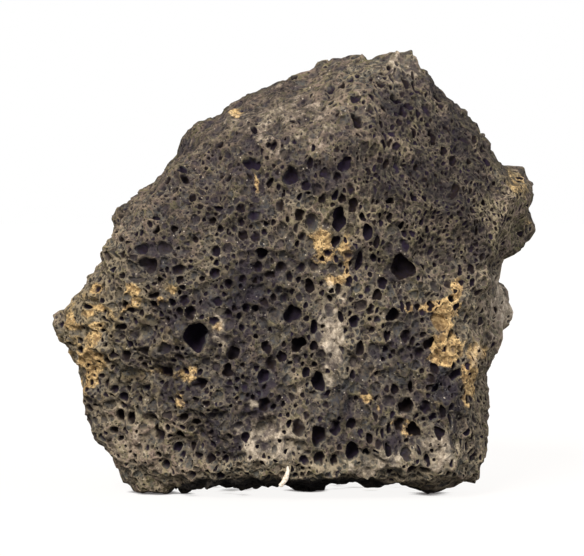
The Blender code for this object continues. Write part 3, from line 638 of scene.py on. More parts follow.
# The same, where the strength is how much lighter or darker the bare stone is: partly its own lightness,
# partly painted light and shade.
TONE_AND_LIGHT_PATCHES = (
    (-13.0, 75.1, 16.0, 6.5, -0.14), (1.3, 83.3, 9.0, 5.0, -0.03), (9.6, 85.4, 6.0, 5.0, 0.37),
    (-26.4, 62.8, 6.0, 6.0, 0.15), (-37.9, 48.9, 4.0, 6.0, 0.6), (-32.9, 12.6, 8.0, 8.0, 0.52),
    (-38.9, 24.7, 5.0, 7.0, 0.08), (-28.9, 7.0, 8.0, 2.8, 0.85), (-28.9, 2.4, 8.0, 2.6, 1.0),
    (-20.0, 22.7, 6.0, 6.0, 0.05), (1.3, 6.2, 20.0, 2.0, 1.5), (24.4, 4.8, 14.0, 2.4, 1.2),
    (39.6, 36.8, 5.0, 8.0, 0.5), (46.5, 57.6, 5.0, 9.0, 0.36), (-8.8, 40.8, 7.0, 6.0, -0.48),
    (30.1, 75.1, 8.0, 10.0, -0.36), (-6.7, 20.7, 5.0, 5.0, -0.32), (-12.8, 10.6, 5.0, 5.0, -0.33),
    (-44.0, 34.0, 6.0, 7.0, 1.6), (25.0, 58.0, 13.0, 12.0, -0.18), (3.4, 60.7, 6.0, 6.0, 0.14),
    (38.0, 12.6, 4.0, 10.0, 0.35), (-22.0, 8.6, 5.0, 4.0, -0.2), (21.4, 11.0, 5.0, 4.0, 0.0),
    (38.0, 66.0, 5.0, 7.0, -0.22), (21.5, 82.0, 4.0, 3.5, -0.4), (-19.2, 60.7, 7.0, 6.0, -0.24),
    (-29.6, 51.4, 6.0, 5.0, -0.24), (29.5, 20.5, 5.0, 6.0, -0.4), (-5.0, 68.0, 8.0, 7.0, -0.1),
    (44.5, 30.0, 3.0, 14.0, 0.5), (11.4, 17.0, 4.0, 5.0, -0.2), (23.0, 89.5, 4.0, 3.0, 0.5),
    (-37.0, 60.0, 6.0, 8.0, 0.1), (32.0, 48.0, 6.0, 6.0, -0.2), (21.0, 33.0, 5.0, 5.0, -0.12),
    (15.5, 64.8, 6.0, 6.0, 0.0), (1.3, 14.7, 4.0, 4.0, 0.15), (-26.9, 24.7, 5.0, 5.0, -0.1),
    (1.3, 40.8, 4.0, 4.0, 0.08), (34.5, 6.0, 5.0, 3.5, 0.5),
)


def tone_and_light_at(points):
    """How light the bare basalt is: 0.5, plus broad noise, plus soft round patches on the front, partly
    painted light and shade.
    """
    tone = 0.5 + 0.22 * lattice_noise(points, 9.0, 70) + 0.22 * lattice_noise(points, 4.2, 71)
    front = np.clip(-0.12 * (points[:, 1] - 8.0), 0, 1)
    for x, z, width, height, much in TONE_AND_LIGHT_PATCHES:
        across, along = (points[:, 0] - x) / width, (points[:, 2] - z) / height
        tone += front * much * np.exp(-(across**2) - along**2)
    return tone


# Height (z) along the front (x) up to which the underside is blackened with painted shade.
UNDERSIDE_SHADE_LINE = ((-26.0, 0.2), (-22.5, 2.6), (-19.0, 4.3), (12.0, 4.7), (19.0, 3.8), (24.0, 2.0), (34.0, 0.0))


def underside_shade_at(points):
    """How much painted shade blackens the stone, 0 to 1: its underside, up to a wavering line along the
    front.
    """
    along, height = np.array(UNDERSIDE_SHADE_LINE).T
    line = np.interp(points[:, 0], along, height) + 0.35 * lattice_noise(points, 1.6, 72)
    return np.clip((line - points[:, 2]) / 0.5 + 0.5, 0, 1)


# On the front: where the stone is closer grained, where its bubbles are smaller, where they are larger,
# and where they are drawn out along layers.
CLOSE_PATCHES = (
    (-4.0, 78.0, 20.0, 8.5, 1.0), (-8.0, 68.0, 13.0, 6.0, 0.45), (-27.0, 61.0, 9.0, 9.0, 0.7),
    (-32.0, 9.0, 10.0, 6.0, 0.8), (43.0, 36.0, 4.0, 9.0, 0.6), (-47.0, 35.0, 5.0, 4.0, 0.7),
)
FINE_PATCHES = (
    (28.0, 66.0, 16.0, 16.0, 1.0), (45.0, 57.0, 10.0, 12.0, 1.0), (41.0, 24.0, 5.0, 16.0, 0.6),
)
FINE_SHARE = 0.28  # how much smaller bubbles are there
COARSE_PATCHES = (
    (-30.0, 27.0, 14.0, 18.0, 1.0), (-12.0, 34.0, 10.0, 16.0, 0.8), (12.0, 18.0, 13.0, 12.0, 0.9),
    (2.0, 52.0, 14.0, 12.0, 0.7), (20.0, 38.0, 10.0, 10.0, 0.5), (18.0, 80.0, 7.0, 5.0, 0.7),
)
COARSE_SHARE = 0.35  # how much larger they are there
LAYERED_PATCHES = ((-30.0, 23.0, 13.0, 12.0, 0.35), (-27.0, 47.0, 9.0, 6.0, 0.2))
PATCHES = {  # each kind's patches on the front, and the seed of what bends and sows them
    "rust": (RUST_PATCHES, 50), "bloom": (BLOOM_PATCHES, 60), "layered": (LAYERED_PATCHES, 80),
    "close": (CLOSE_PATCHES, 90), "fine": (FINE_PATCHES, 95), "coarse": (COARSE_PATCHES, 97),
}
PATCH_SEED = 3
OTHER_PATCHES, OTHER_SIZES, OTHER_STRENGTH = 8, (1.2, 4.0), 0.7  # of each kind, sown over the back
FRONT_END, FRONT_FADE = 7.0, 7.0  # y where the patches of the front end, and how far before they fade


def drawn_at(points):
    """How far the bubbles are drawn out upwards: 0 on the left, rising to 1 on the right."""
    return 0.5 + 0.5 * np.tanh((points[:, 0] + 4.0) / 9.0)


def patch_strength(points, kind):
    """Strength of a kind of patch at each point, 0 to 1: 1 in a patch's middle, falling to 0 past its edge.

    On the front a patch is an ellipse in x and z. Elsewhere patches are balls sown on the surface.
    Either way the distance is first bent by noise, so that no patch has a smooth edge.
    """
    patches, seed = PATCHES[kind]
    bend = 1 + 0.45 * lattice_noise(points, 3.1, seed) + 0.25 * lattice_noise(points, 1.2, seed + 1)
    strength = np.zeros(len(points))
    front = np.clip((FRONT_END - points[:, 1]) / FRONT_FADE + 1.5 * (bend - 1), 0, 1)
    for x, z, width, height, much in patches:
        r = np.hypot((points[:, 0] - x) / width, (points[:, 2] - z) / height) * bend
        strength = np.maximum(strength, front * much * np.clip(1.7 - 1.1 * r, 0, 1))
    random = np.random.default_rng(PATCH_SEED + seed)
    ways = unit(random.normal(size=(OTHER_PATCHES * 3, 3)))
    ways = ways[ways[:, 1] > 0.3][:OTHER_PATCHES]
    sizes = random.uniform(*OTHER_SIZES, len(ways))
    for middle, size in zip(surface_points(ways), sizes):
        r = np.linalg.norm((points - middle) * (1, 1, 0.7), axis=1) / size * bend**2
        strength = np.maximum(strength, OTHER_STRENGTH * np.clip(1.7 - 1.1 * r, 0, 1))
    return strength


# ---------------------------------------------------------------- pores


def named_pores(bubbles, random):
    """The listed bubbles of the front face, as shapes."""
    rows = np.array(bubbles, dtype=float)
    directions = np.array([front_direction(x, z) for x, z in rows[:, :2]])
    named = shaped(directions, rows[:, 2] / 2, rows[:, 3] / rows[:, 2], np.radians(rows[:, 4]), random)
    named["swing"] = random.uniform(*NAMED_SWING, len(rows))
    named["depth"] = rows[:, 2:4].min(axis=1) * rows[:, 5] * NAMED_DEPTH
    named["most"] = np.full(len(rows), NAMED_SWELL)
    return named


def front_direction(x, z):
    """Direction from the core to the front surface at this x and z, by halving the stretch of Y it is in."""
    outside, inside = -48.0, 0.0
    for _ in range(20):
        middle = 0.5 * (outside + inside)
        away = np.array((x, middle, z)) - CORE
        length = np.linalg.norm(away)
        if length > stone_radius(away[None] / length)[0]:
            outside = middle
        else:
            inside = middle
    return away / length


def sow_pores():
    """All pores, largest kind first, each kept clear of those before it: [(rings, pores)]."""
    random = np.random.default_rng(PORE_SEED)
    batches, taken, bubbles = [], {}, None
    for rings, listed in ((NAMED_RINGS, FRONT_BUBBLES), (LESSER_RINGS, LESSER_BUBBLES)):
        named, count = named_pores(listed, random), len(listed)
        facts = {"front": count, "rest": count, "wall": NAMED_WALL}
        batches.append((rings, chosen(named, settled(taken, named, np.ones(count), facts, count))))
    for kind, facts in PORE_KINDS.items():
        if kind == "prick":
            batches, bubbles = swell_together(batches)
        if kind == "plain":
            batches.append((HOLLOW_EDGE, hollow_edges(taken, bubbles)))
        room = MOST_POINTS - sum(ring_total(batch) for batch in batches)
        batches.append((facts["rings"], sow_kind(kind, facts, taken, random, room, bubbles)))
    return batches


def swell_together(batches):
    """All batches swollen till they meet, and the same as one dict of arrays."""
    joined = {key: np.concatenate([pores[key] for _, pores in batches]) for key in batches[0][1]}
    joined = swollen(joined, joined["most"])
    ends = np.cumsum([len(pores["width"]) for _, pores in batches])
    parts = [slice(end - len(pores["width"]), end) for end, (_, pores) in zip(ends, batches)]
    return [(rings, chosen(joined, part)) for part, (rings, _) in zip(parts, batches)], joined


def ring_total(batch):
    """Points of a batch's rings."""
    rings, pores = batch
    return len(pores["width"]) * sum(ring[1] for ring in rings)


def hollow_edges(taken, bubbles):
    """Points along the edges of the hollows, where no pore is, as pores of no depth."""
    ways = []
    for hollows in HOLLOWS:
        girth = np.pi * (hollows["width"] + hollows["height"])
        for radius, share in HOLLOW_RINGS:
            count = int(girth.mean() * share * EDGE_DENSITY)
            offset = ring_offsets(hollows, np.arange(count) / count * 2 * np.pi)
            ways.append(unit(hollows["middle"][:, None] + radius * offset - CORE).reshape(-1, 3))
    ways = np.concatenate(ways)
    ways = ways[~within(bubbles, ways, surface_points(ways))]
    places = skin(ways).tolist()
    kept = [row for row, place in enumerate(places) if claim(taken, place, EDGE_BOOKING, 0.0)]
    pores = dict.fromkeys(("side", "up", "out", "lobes"), np.zeros((len(kept), 3)))
    pores.update(dict.fromkeys(("width", "height", "swing", "depth", "tint"), np.zeros(len(kept))))
    pores.update(direction=ways[kept], middle=np.array(places)[kept], swell=np.ones((len(kept), SWELL_STEPS)))
    return pores


def ring_offsets(shapes, angle):
    """Offsets from each shape's middle to its lobed edge, at these angles round it: shapes by angles by 3."""
    angle = np.broadcast_to(angle, (len(shapes["width"]), np.shape(angle)[-1]))
    edge = edge_radius(shapes, np.arange(len(angle))[:, None], angle)
    across = shapes["width"][:, None] * edge * np.cos(angle)
    along = shapes["height"][:, None] * edge * np.sin(angle)
    return across[..., None] * shapes["side"][:, None] + along[..., None] * shapes["up"][:, None]


def sow_kind(kind, facts, taken, random, room, bubbles):
    """Sows one kind of pore: drawn all over, kept where there is space, up to its numbers and the room."""
    wanted = facts["front"] + facts["rest"]
    directions = sown_directions(random, DRAWS * wanted, facts["front"] / wanted)
    count, front = len(directions), is_front(directions)
    narrow, wide = facts["half_width"]
    width = narrow + (wide - narrow) * random.random(count) ** 1.4
    where = surface_points(directions)
    coarse = patch_strength(where, "coarse") * front
    fine = patch_strength(where, "fine") * (1 - coarse)
    width *= 1 - FINE_SHARE * fine + COARSE_SHARE * coarse
    drawn_out = drawn_at(where) * front
    layered = patch_strength(where, "layered")
    stretch = 1 + (0.15 + 0.75 * drawn_out) * random.random(count) * (1 - layered) - 0.35 * layered
    turn = 0.25 * random.normal(size=count) - 0.15 * drawn_out
    pores = shaped(directions, width, stretch, turn, random)
    shallow = random.random(count) < facts["shallow"]
    pores["depth"] = width * np.where(shallow, random.uniform(*SHALLOW_DEPTH, count),
                                      random.uniform(*facts["depth"], count))
    bloom, close = patch_strength(where, "bloom"), patch_strength(where, "close")
    pores["most"] = 1 + (facts["swell"] - 1) * (1 - 0.8 * np.maximum(bloom, close))
    sparse = np.maximum(np.maximum(0.85 * bloom, facts["shy"] * close), facts["big"] * fine)
    passed = (random.random(count) >= sparse) | (kind == "plain")
    if bubbles:
        passed[passed] = ~within(bubbles, directions[passed], where[passed])
    most = room // sum(ring[1] for ring in facts["rings"])
    return chosen(pores, settled(taken, pores, passed & (directions[:, 2] > LOWEST_PORE), facts, most))


def kept_inside(points):
    """Points of the walls, with those that stand out of the skin drawn back to just under it."""
    away = points - CORE
    length = np.linalg.norm(away, axis=1)
    reach = np.linalg.norm(skin(away / length[:, None]) - CORE, axis=1) - LEAST_DEPTH
    return CORE + away * np.minimum(1, reach / length)[:, None]


def ring_points(rings, pores):
    """(directions, points, facts) of every ring of every pore in a batch, and the edges of its rims.

    A ring is a lobed ellipse in the pore's tangent plane. Its direction comes from the ring's radius as
    seen from outside, and its place from the radius that the wall has, at its depth under the skin.
    """
    directions, points, facts, edges = [], [], [], np.zeros((0, 2), dtype=int)
    for radius, count, fall, spread in rings:
        angle = (np.arange(count) / count + 0.5 * fall) * 2 * np.pi + pores["lobes"][:, :1]
        offset = ring_offsets(pores, angle)
        way = unit(pores["middle"][:, None] + radius * offset - CORE).reshape(-1, 3)
        place, hollow = skin_and_hollow(way)
        deep = np.repeat(pores["depth"] * fall, count)
        sink = deep[:, None] * np.repeat(pores["out"], count, axis=0)
        place = place + (spread - radius) * offset.reshape(-1, 3) - sink
        if fall:
            rough = np.repeat(WALL_ROUGHNESS * pores["width"], count)
            bumps = [lattice_noise(place, WALL_GRAIN, seed) for seed in (61, 62, 63)]
            place += rough[:, None] * np.stack(bumps, axis=1)
            place = kept_inside(place)
        directions.append(way)
        points.append(place)
        rim = np.full(len(way), float(radius == 1.0))
        narrow = np.maximum(np.minimum(pores["width"], pores["height"]), NARROWEST)
        gloom = np.repeat(pores["depth"] * fall / narrow, count)
        facts.append(np.stack((np.repeat(pores["tint"], count), gloom, hollow, rim), axis=1))
        if radius == 1.0:
            here = np.arange(len(way)).reshape(-1, count)
            edges = np.stack((here, np.roll(here, -1, axis=1)), axis=2).reshape(-1, 2)
    return np.concatenate(directions), np.concatenate(points), np.concatenate(facts), edges


# ---------------------------------------------------------------- from directions to a closed mesh


def triangulate(directions, edges, pole_ring):
    """(directions, sources, faces): triangles between the directions, counter-clockwise from outside.

    The directions are projected from the lowest one to the plane, (x, y) / (1 + z), where circles stay
    circles, so the plane's Delaunay triangles are those of the sphere. The given edges are kept, and
    where two cross, a new direction is made, whose source is -1. The last pole_ring of the directions
    given stand round the lowest one, which is added and joined to each by a fan.
    """
    plane = directions[:, :2] / (1 + directions[:, 2:])
    places = [Vector(place) for place in plane.tolist()]
    made = delaunay_2d_cdt(places, edges.tolist(), [], 0, SAME_PLACE)
    flat = np.array([tuple(place) for place in made[0]])
    sources = np.array([source[0] if source else -1 for source in made[3]])
    squared = np.sum(flat**2, axis=1)[:, None]
    found = np.concatenate((2 * flat, 1 - squared), axis=1) / (1 + squared)
    found = np.where(sources[:, None] >= 0, directions[sources], found)
    order = np.argsort(sources)
    ring = order[-pole_ring:]
    lowest = len(found)
    fan = np.stack((np.roll(ring, -1), ring, np.full(pole_ring, lowest)), axis=1)
    faces = np.concatenate((np.array(made[2]), fan))
    found = np.concatenate((found, ((0.0, 0.0, -1.0),)))
    return found, np.append(sources, -1), faces


def bake_layout(directions, faces):
    """A UV for each corner of each face: the octahedral map, whose middle looks out of the front face.

    A direction is divided by the sum of its parts. Its x and z are the place of the front half. The
    back half folds out into the square's corners, and each triangle there keeps to one corner.
    """
    flat = directions / np.abs(directions).sum(axis=1, keepdims=True)
    across, depth, along = flat[faces].transpose(2, 0, 1)
    way = np.where(np.stack((across.mean(axis=1), along.mean(axis=1))) < 0, -1, 1)[:, :, None]
    behind = depth.mean(axis=1)[:, None] > 0
    u = np.where(behind, way[0] * (1 - way[1] * along), across)
    v = np.where(behind, way[1] * (1 - way[0] * across), along)
    return 0.5 + 0.49 * np.stack((u, v), axis=2).reshape(-1, 2)


def make_mesh(name, points, faces):
    """A mesh object from points in millimetres and a list of faces, linked into the scene."""
    mesh = bpy.data.meshes.new(name)
    mesh.from_pydata((points * MM).tolist(), [], faces)
    thing = bpy.data.objects.new(name, mesh)
    bpy.context.scene.collection.objects.link(thing)
    return thing


def make_stone():
    """The stone: all rings of all pores and the plain points between, joined up and given attributes."""
    around = np.linspace(0, 2 * np.pi, POLE_RING, endpoint=False)
    beside = (POLE_REACH * np.cos(around), POLE_REACH * np.sin(around), -np.ones(POLE_RING))
    made, total = [], 0
    for rings, pores in sow_pores():
        way, place, fact, edge = ring_points(rings, pores)
        made.append((way, place, fact, edge + total))
        total += len(way)
    ways, points, facts, edges = (np.concatenate(part) for part in zip(*made))
    ways = np.concatenate((ways, unit(np.stack(beside, axis=1))))
    directions, sources, faces = triangulate(ways, edges, POLE_RING)
    # Where the triangulation or the pole added a direction, the point is on the skin.
    on_skin = (sources < 0) | (sources >= total)
    source = np.where(on_skin, 0, sources)
    place, hollow = skin_and_hollow(directions)
    points = np.where(on_skin[:, None], place, points[source])
    points[:, 2] = np.maximum(points[:, 2], 0.0)
    none = np.zeros(len(hollow))
    skin_facts = np.stack((none, none, hollow, none + 1), axis=1)
    facts = np.where(on_skin[:, None], skin_facts, facts[source])
    stone = make_mesh("lava_stone", points, faces.tolist())
    layout = stone.data.uv_layers.new(name="OFBake")
    layout.data.foreach_set("uv", bake_layout(directions, faces).astype(np.float32).ravel())
    flat = surface_points(directions)
    values = dict(zip(("tint", "gloom", "hollow", "rim"), facts.T))
    values.update(tone=tone_and_light_at(flat), drawn=drawn_at(flat), damp=underside_shade_at(points))
    values.update({kind: patch_strength(flat, kind) for kind in PATCHES if kind != "coarse"})
    for name, value in values.items():
        attribute = stone.data.attributes.new(name, "FLOAT", "POINT")
        attribute.data.foreach_set("value", np.ascontiguousarray(value, dtype=np.float32))
    stone.data.shade_smooth()
    return stone


# ---------------------------------------------------------------- the pale fleck

# The bleached root end on the lower front edge: (x, z) along it, and its radius, as in the CAD solid.
FLECK_LINE = ((-1.3, 7.4, 0.4), (-1.1, 6.2, 0.65), (-1.5, 5.0, 0.9), (-2.1, 4.0, 1.0), (-2.8, 3.2, 0.9))
FLECK_SEAT = 0.25  # how far its upper end is sunk into the stone
FLECK_STAND_OFF = 0.35  # how far its lower end stands off the stone
FLECK_HALF_WIDTH = 0.56  # where its radius is 1
FLECK_STEPS, FLECK_AROUND = 33, 20  # rings of points along it, and points round each
FLECK_FLATNESS = 0.7  # its thickness in its width
FLECK_LUMPS, FLECK_GRAIN = 0.25, 0.7  # how far its radius is moved by noise, and the noise's wavelength


def make_fleck():
    """The fleck: a flattened, lumpy circle carried along a bent path, closed to a point at both ends.

    A point is the path's point plus cos(turn) times the radius across the path in the plane of the
    front, plus sin(turn) times the radius and the flatness out of it. The radius is that of the line,
    times the fourth root of 1 - (2t - 1)**8 for round ends, and a little noise.
    """
    rows = np.array(FLECK_LINE)
    steps = np.linspace(0, 1, FLECK_STEPS)
    x, z, radius = (np.interp(steps, np.linspace(0, 1, len(rows)), column) for column in rows.T)
    stone_front = [skin(front_direction(*place)[None])[0, 1] for place in rows[:, :2]]
    y = np.interp(steps, (0, 1), (stone_front[0] + FLECK_SEAT, min(stone_front) - FLECK_STAND_OFF))
    path = np.stack((x, y, z), axis=1)
    forward = unit(np.gradient(path, axis=0))
    across = np.cross(forward, (0.0, 1.0, 0.0))
    turn = np.linspace(0, 2 * np.pi, FLECK_AROUND, endpoint=False)[None, :, None]
    radius = FLECK_HALF_WIDTH * radius * np.clip(1 - (2 * steps - 1) ** 8, 0, 1) ** 0.25
    ring = np.cos(turn) * across[:, None] + FLECK_FLATNESS * np.sin(turn) * np.array((0.0, -1.0, 0.0))
    points = path[:, None] + radius[:, None, None] * ring
    lumps = lattice_noise(points.reshape(-1, 3), FLECK_GRAIN, 41).reshape(*points.shape[:2], 1)
    points = path[:, None] + (1 + FLECK_LUMPS * lumps) * (points - path[:, None])
    return grid_tube("bleached_fleck", points)


def grid_tube(name, points):
    """A closed skin over rings of points: quads between the rings, and a fan of triangles at each end."""
    rings, around = points.shape[:2]
    here = np.arange(rings - 1)[:, None] * around + np.arange(around)
    beside = np.arange(rings - 1)[:, None] * around + np.roll(np.arange(around), -1)
    quads = np.stack((here, beside, beside + around, here + around), axis=2).reshape(-1, 4).tolist()
    ends = [points[0].mean(axis=0), points[-1].mean(axis=0)]
    first, last = rings * around, rings * around + 1
    fans = [(first, (k + 1) % around, k) for k in range(around)]
    base = (rings - 1) * around
    fans += [(last, base + k, base + (k + 1) % around) for k in range(around)]
    thing = make_mesh(name, np.concatenate((points.reshape(-1, 3), ends)), quads + fans)
    thing.data.shade_smooth()
    return thing


# ---------------------------------------------------------------- shader maths


class Wire:
    """One output of a shader node. Arithmetic on it, with numbers or other wires, adds Math nodes."""

    def __init__(self, graph, socket):
        self.graph = graph
        self.socket = socket

    def maths(self, operation, *values):
        return self.graph.node("ShaderNodeMath", {"operation": operation}, dict(enumerate(values)))

    def __add__(self, other):
        return self.maths("ADD", self, other)

    def __sub__(self, other):
        return self.maths("SUBTRACT", self, other)

    def __rsub__(self, other):
        return self.maths("SUBTRACT", other, self)

    def __mul__(self, other):
        return self.maths("MULTIPLY", self, other)

    __radd__ = __add__
    __rmul__ = __mul__

    def most(self, other):
        """The larger of the two."""
        return self.maths("MAXIMUM", self, other)

    def ramp(self, low, high):
        """0 below low and 1 above high, with a smooth rise; high may be the smaller, for a fall."""
        inputs = {"Value": self, "From Min": low, "From Max": high}
        return self.graph.node("ShaderNodeMapRange", {"interpolation_type": "SMOOTHSTEP"}, inputs)


MIX_FACTOR, MIX_FIRST, MIX_SECOND, MIX_COLOUR = 0, 6, 7, 2  # a colour Mix node's inputs, and its output


class Finish:
    """A material under construction: its nodes, and the Principled shader they end in."""

    def __init__(self, name, **constants):
        self.material = bpy.data.materials.new(name)
        self.material.use_nodes = True
        self.tree = self.material.node_tree
        self.shader = self.tree.nodes["Principled BSDF"]
        for socket, value in constants.items():
            self.shader.inputs[socket.replace("_", " ")].default_value = value

    def node(self, kind, settings=None, inputs=None, output=0):
        """Adds a node: its settings first, then the value or wire of each input. Gives one output."""
        made = self.tree.nodes.new(kind)
        for key, value in (settings or {}).items():
            setattr(made, key, value)
        for key, value in (inputs or {}).items():
            if isinstance(value, Wire):
                self.tree.links.new(value.socket, made.inputs[key])
            else:
                made.inputs[key].default_value = value
        return Wire(self, made.outputs[output])

    def mix(self, share, first, second):
        """A colour from first at 0 to second at 1."""
        first, second = (end if isinstance(end, Wire) else (*end, 1.0) for end in (first, second))
        inputs = {MIX_FACTOR: share, MIX_FIRST: first, MIX_SECOND: second}
        return self.node("ShaderNodeMix", {"data_type": "RGBA"}, inputs, MIX_COLOUR)

    def noise(self, place, millimetres, detail=3.0, roughness=0.5):
        """Cloudy noise from 0 to 1, with lumps about this many millimetres apart."""
        inputs = {"Vector": place, "Scale": 1000 / millimetres, "Detail": detail, "Roughness": roughness}
        return self.node("ShaderNodeTexNoise", None, inputs)

    def cells(self, place, millimetres, output="Distance"):
        """Voronoi cells about this many millimetres across: the distance to the middle, or another output."""
        inputs = {"Vector": place, "Scale": 1000 / millimetres}
        return self.node("ShaderNodeTexVoronoi", {"feature": "F1"}, inputs, output)

    def mapped(self, place, scale, turn):
        """The place turned, then scaled, so that a pattern is drawn out where the scale is small."""
        return self.node("ShaderNodeMapping", {"vector_type": "TEXTURE"},
                         {"Vector": place, "Rotation": turn, "Scale": [1 / value for value in scale]})

    def attribute(self, name):
        """A number kept at the mesh's points."""
        return self.node("ShaderNodeAttribute", {"attribute_name": name}, None, "Fac")

    def feed(self, socket, wire):
        self.tree.links.new(wire.socket, self.shader.inputs[socket])


# ---------------------------------------------------------------- finishes

BODY_DARK = (0.032, 0.026, 0.022)
BODY_OLIVE = (0.184, 0.156, 0.078)
BODY_PINK = (0.265, 0.192, 0.148)
BODY_GOLD = (0.270, 0.200, 0.105)
SLATE_VIOLET = (0.032, 0.024, 0.037)
SLATE_OLIVE = (0.112, 0.098, 0.068)
SLATE_BLUE = (0.072, 0.075, 0.084)
DEPTH_VIOLET = (0.015, 0.0085, 0.0225)
DEPTH_BROWN = (0.0110, 0.0055, 0.0036)
# Of the pores' rims: the lighter walls, with a painted highlight.
RIM_TAN_AND_HIGHLIGHT = (0.40, 0.32, 0.210)
# The pale of the painted glints.
PAINTED_GLINT = (0.72, 0.62, 0.50)
# The black of the painted shade under the stone.
UNDERSIDE_SHADE_BLACK = (0.009, 0.008, 0.010)
DEPTH_BLACK = (0.0042, 0.0021, 0.0062)
RUST_DEEP = (0.33, 0.20, 0.085)
RUST_LIGHT = (0.80, 0.55, 0.255)
BLOOM_GREY = (0.25, 0.198, 0.146)
BLOOM_LIGHT = (0.72, 0.60, 0.46)
FLECK_PALE = (0.86, 0.76, 0.64)
FLECK_BROWN = (0.55, 0.40, 0.28)


def basalt_finish():
    """Dark basalt: lighter walls between pores, slate hollows, rust and bloom, fine vesicles, painted shade
    and highlights.
    """
    finish = Finish("frothy_basalt", Roughness=0.9, Specular_IOR_Level=0.25)
    place = finish.node("ShaderNodeTexCoord", None, None, "Object")
    gloom, hollow, rim, rust, bloom, tone, drawn, layered, close, tint, damp, fine = map(
        finish.attribute, "gloom hollow rim rust bloom tone drawn layered close tint damp fine".split()
    )
    upright = finish.mapped(place, (1.0, 1.0, 0.22), (0.0, math.radians(-8), 0.0))
    level = finish.mapped(place, (0.25, 1.0, 1.1), (0.0, math.radians(6), 0.0))
    streak = (finish.noise(upright, 1.3, 3.0, 0.6) - 0.5) * drawn
    band = (finish.noise(level, 1.6, 3.0, 0.6) - 0.5) * layered
    rising = finish.mapped(place, (1.0, 1.0, 0.5), (0.0, math.radians(52), 0.0))
    flow = streak * (1 - close) + band + (finish.noise(rising, 1.1, 3.0, 0.6) - 0.5) * close
    mottle = finish.noise(place, 2.2, 4.0, 0.65)
    hue = finish.noise(finish.mapped(place, (1.0, 1.0, 1.0), (0.4, 0.3, 0.2)), 2.6, 3.0, 0.6)
    tinge = finish.noise(finish.mapped(place, (1.0, 1.0, 1.0), (0.9, 0.1, 0.5)), 0.55, 2.0, 0.5) - 0.5
    speckle = finish.noise(place, 0.7, 3.0, 0.65)
    grain = finish.noise(place, 0.35, 3.0, 0.6)
    round_cells = finish.cells(place, 0.95)
    small_cells = finish.cells(place, 0.5)

    open_skin = gloom.ramp(0.8, 0.3)
    smooth = bloom.ramp(0.25, 0.8)
    froth = round_cells.ramp(0.42, 0.30).most(0.85 * small_cells.ramp(0.38, 0.24))
    tall_cells = finish.cells(finish.mapped(place, (1.0, 1.0, 0.6), (0.0, math.radians(8), 0.0)), 1.0)
    froth = froth.most(0.9 * fine * tall_cells.ramp(0.37, 0.27))
    froth = froth * speckle.ramp(0.40, 0.60).most(0.6 * fine) * open_skin * (1 - 0.8 * smooth)
    walls = round_cells.ramp(0.36, 0.60) * open_skin

    # Lightness of the bare stone, with the front's patches of painted light and shade in it.
    light = 0.80 * tone + 0.72 * (mottle - 0.5) + 0.62 * (speckle - 0.5) + 0.12 * walls + 0.45 * flow
    warm = finish.mix((hue + 0.8 * tinge + 0.08 * close).ramp(0.42, 0.58), BODY_OLIVE, BODY_PINK)
    warm = finish.mix((1.8 * rust + 0.6 * mottle - 0.3).ramp(0.08, 0.5), warm, BODY_GOLD)
    colour = finish.mix(light.ramp(0.0, 1.1), BODY_DARK, warm)
    cool = finish.mix((hue + 0.8 * tinge).ramp(0.42, 0.56), SLATE_BLUE, SLATE_OLIVE)
    slate = finish.mix((light + 0.8 * tint).ramp(0.3, 1.3), SLATE_VIOLET, cool)
    # Floors of hollows and pores take the darker slate: partly their own colour, partly painted shade in the
    # recesses.
    floor = hollow.ramp(0.1, 0.7).most(gloom.ramp(0.1, 0.45))
    colour = finish.mix(0.7 * floor * (1 - 0.7 * fine), colour, slate)
    # Pores' rims lighter: partly the stone's lighter walls, partly a painted highlight.
    edge = rim.ramp(0.45, 1.0) * (0.6 * speckle + 0.6 * tone).ramp(0.35, 0.9) * (1 - 0.6 * close)
    colour = finish.mix(0.62 * edge, colour, RIM_TAN_AND_HIGHLIGHT)
    rusty = finish.mix((0.6 * speckle + 0.4 * mottle).ramp(0.40, 0.60), RUST_DEEP, RUST_LIGHT)
    stain = (1.05 * rust + 0.9 * mottle + 0.6 * speckle - 0.25 * floor - 0.92).ramp(0.08, 0.52)
    colour = finish.mix(0.92 * stain, colour, rusty)
    pale = finish.mix((0.6 * speckle + 0.4 * mottle).ramp(0.40, 0.62), BLOOM_GREY, BLOOM_LIGHT)
    dusting = (0.9 * bloom + 1.1 * mottle - 0.3 * floor - 0.6).ramp(0.15, 0.8)
    colour = finish.mix(0.85 * dusting, colour, pale)
    # Painted glints: pale specks standing in for highlights on the open skin.
    glint = finish.cells(place, 0.7).ramp(0.26, 0.15) * finish.cells(place, 0.7, "Color").ramp(0.74, 0.84)
    colour = finish.mix(0.6 * glint * open_skin * (1 - fine), colour, PAINTED_GLINT)
    # Dark dots for bubbles too small to model: the holes are real, their darkness is painted shade.
    colour = finish.mix(0.85 * froth, colour, DEPTH_BLACK)
    # Inside the pores the colour darkens with depth in width: partly the darker stone in the bubbles, partly
    # painted shade.
    depths = finish.mix((0.4 * tint + 1.1 * speckle).ramp(0.55, 1.0), DEPTH_BROWN, DEPTH_VIOLET)
    depths = finish.mix(gloom.ramp(1.0, 2.1), depths, DEPTH_BLACK)
    colour = finish.mix((gloom * (1 + 1.1 * fine)).ramp(0.32, 1.15), colour, depths)
    # The underside blackened with painted shade.
    colour = finish.mix(0.9 * damp, colour, UNDERSIDE_SHADE_BLACK)
    finish.feed("Base Color", colour)
    height = 0.5 * walls - 1.3 * froth + 0.5 * grain + 0.7 * speckle + 0.5 * flow
    bump = {"Strength": 0.6, "Distance": 0.3 * MM, "Height": height}
    finish.feed("Normal", finish.node("ShaderNodeBump", None, bump))
    return finish.material


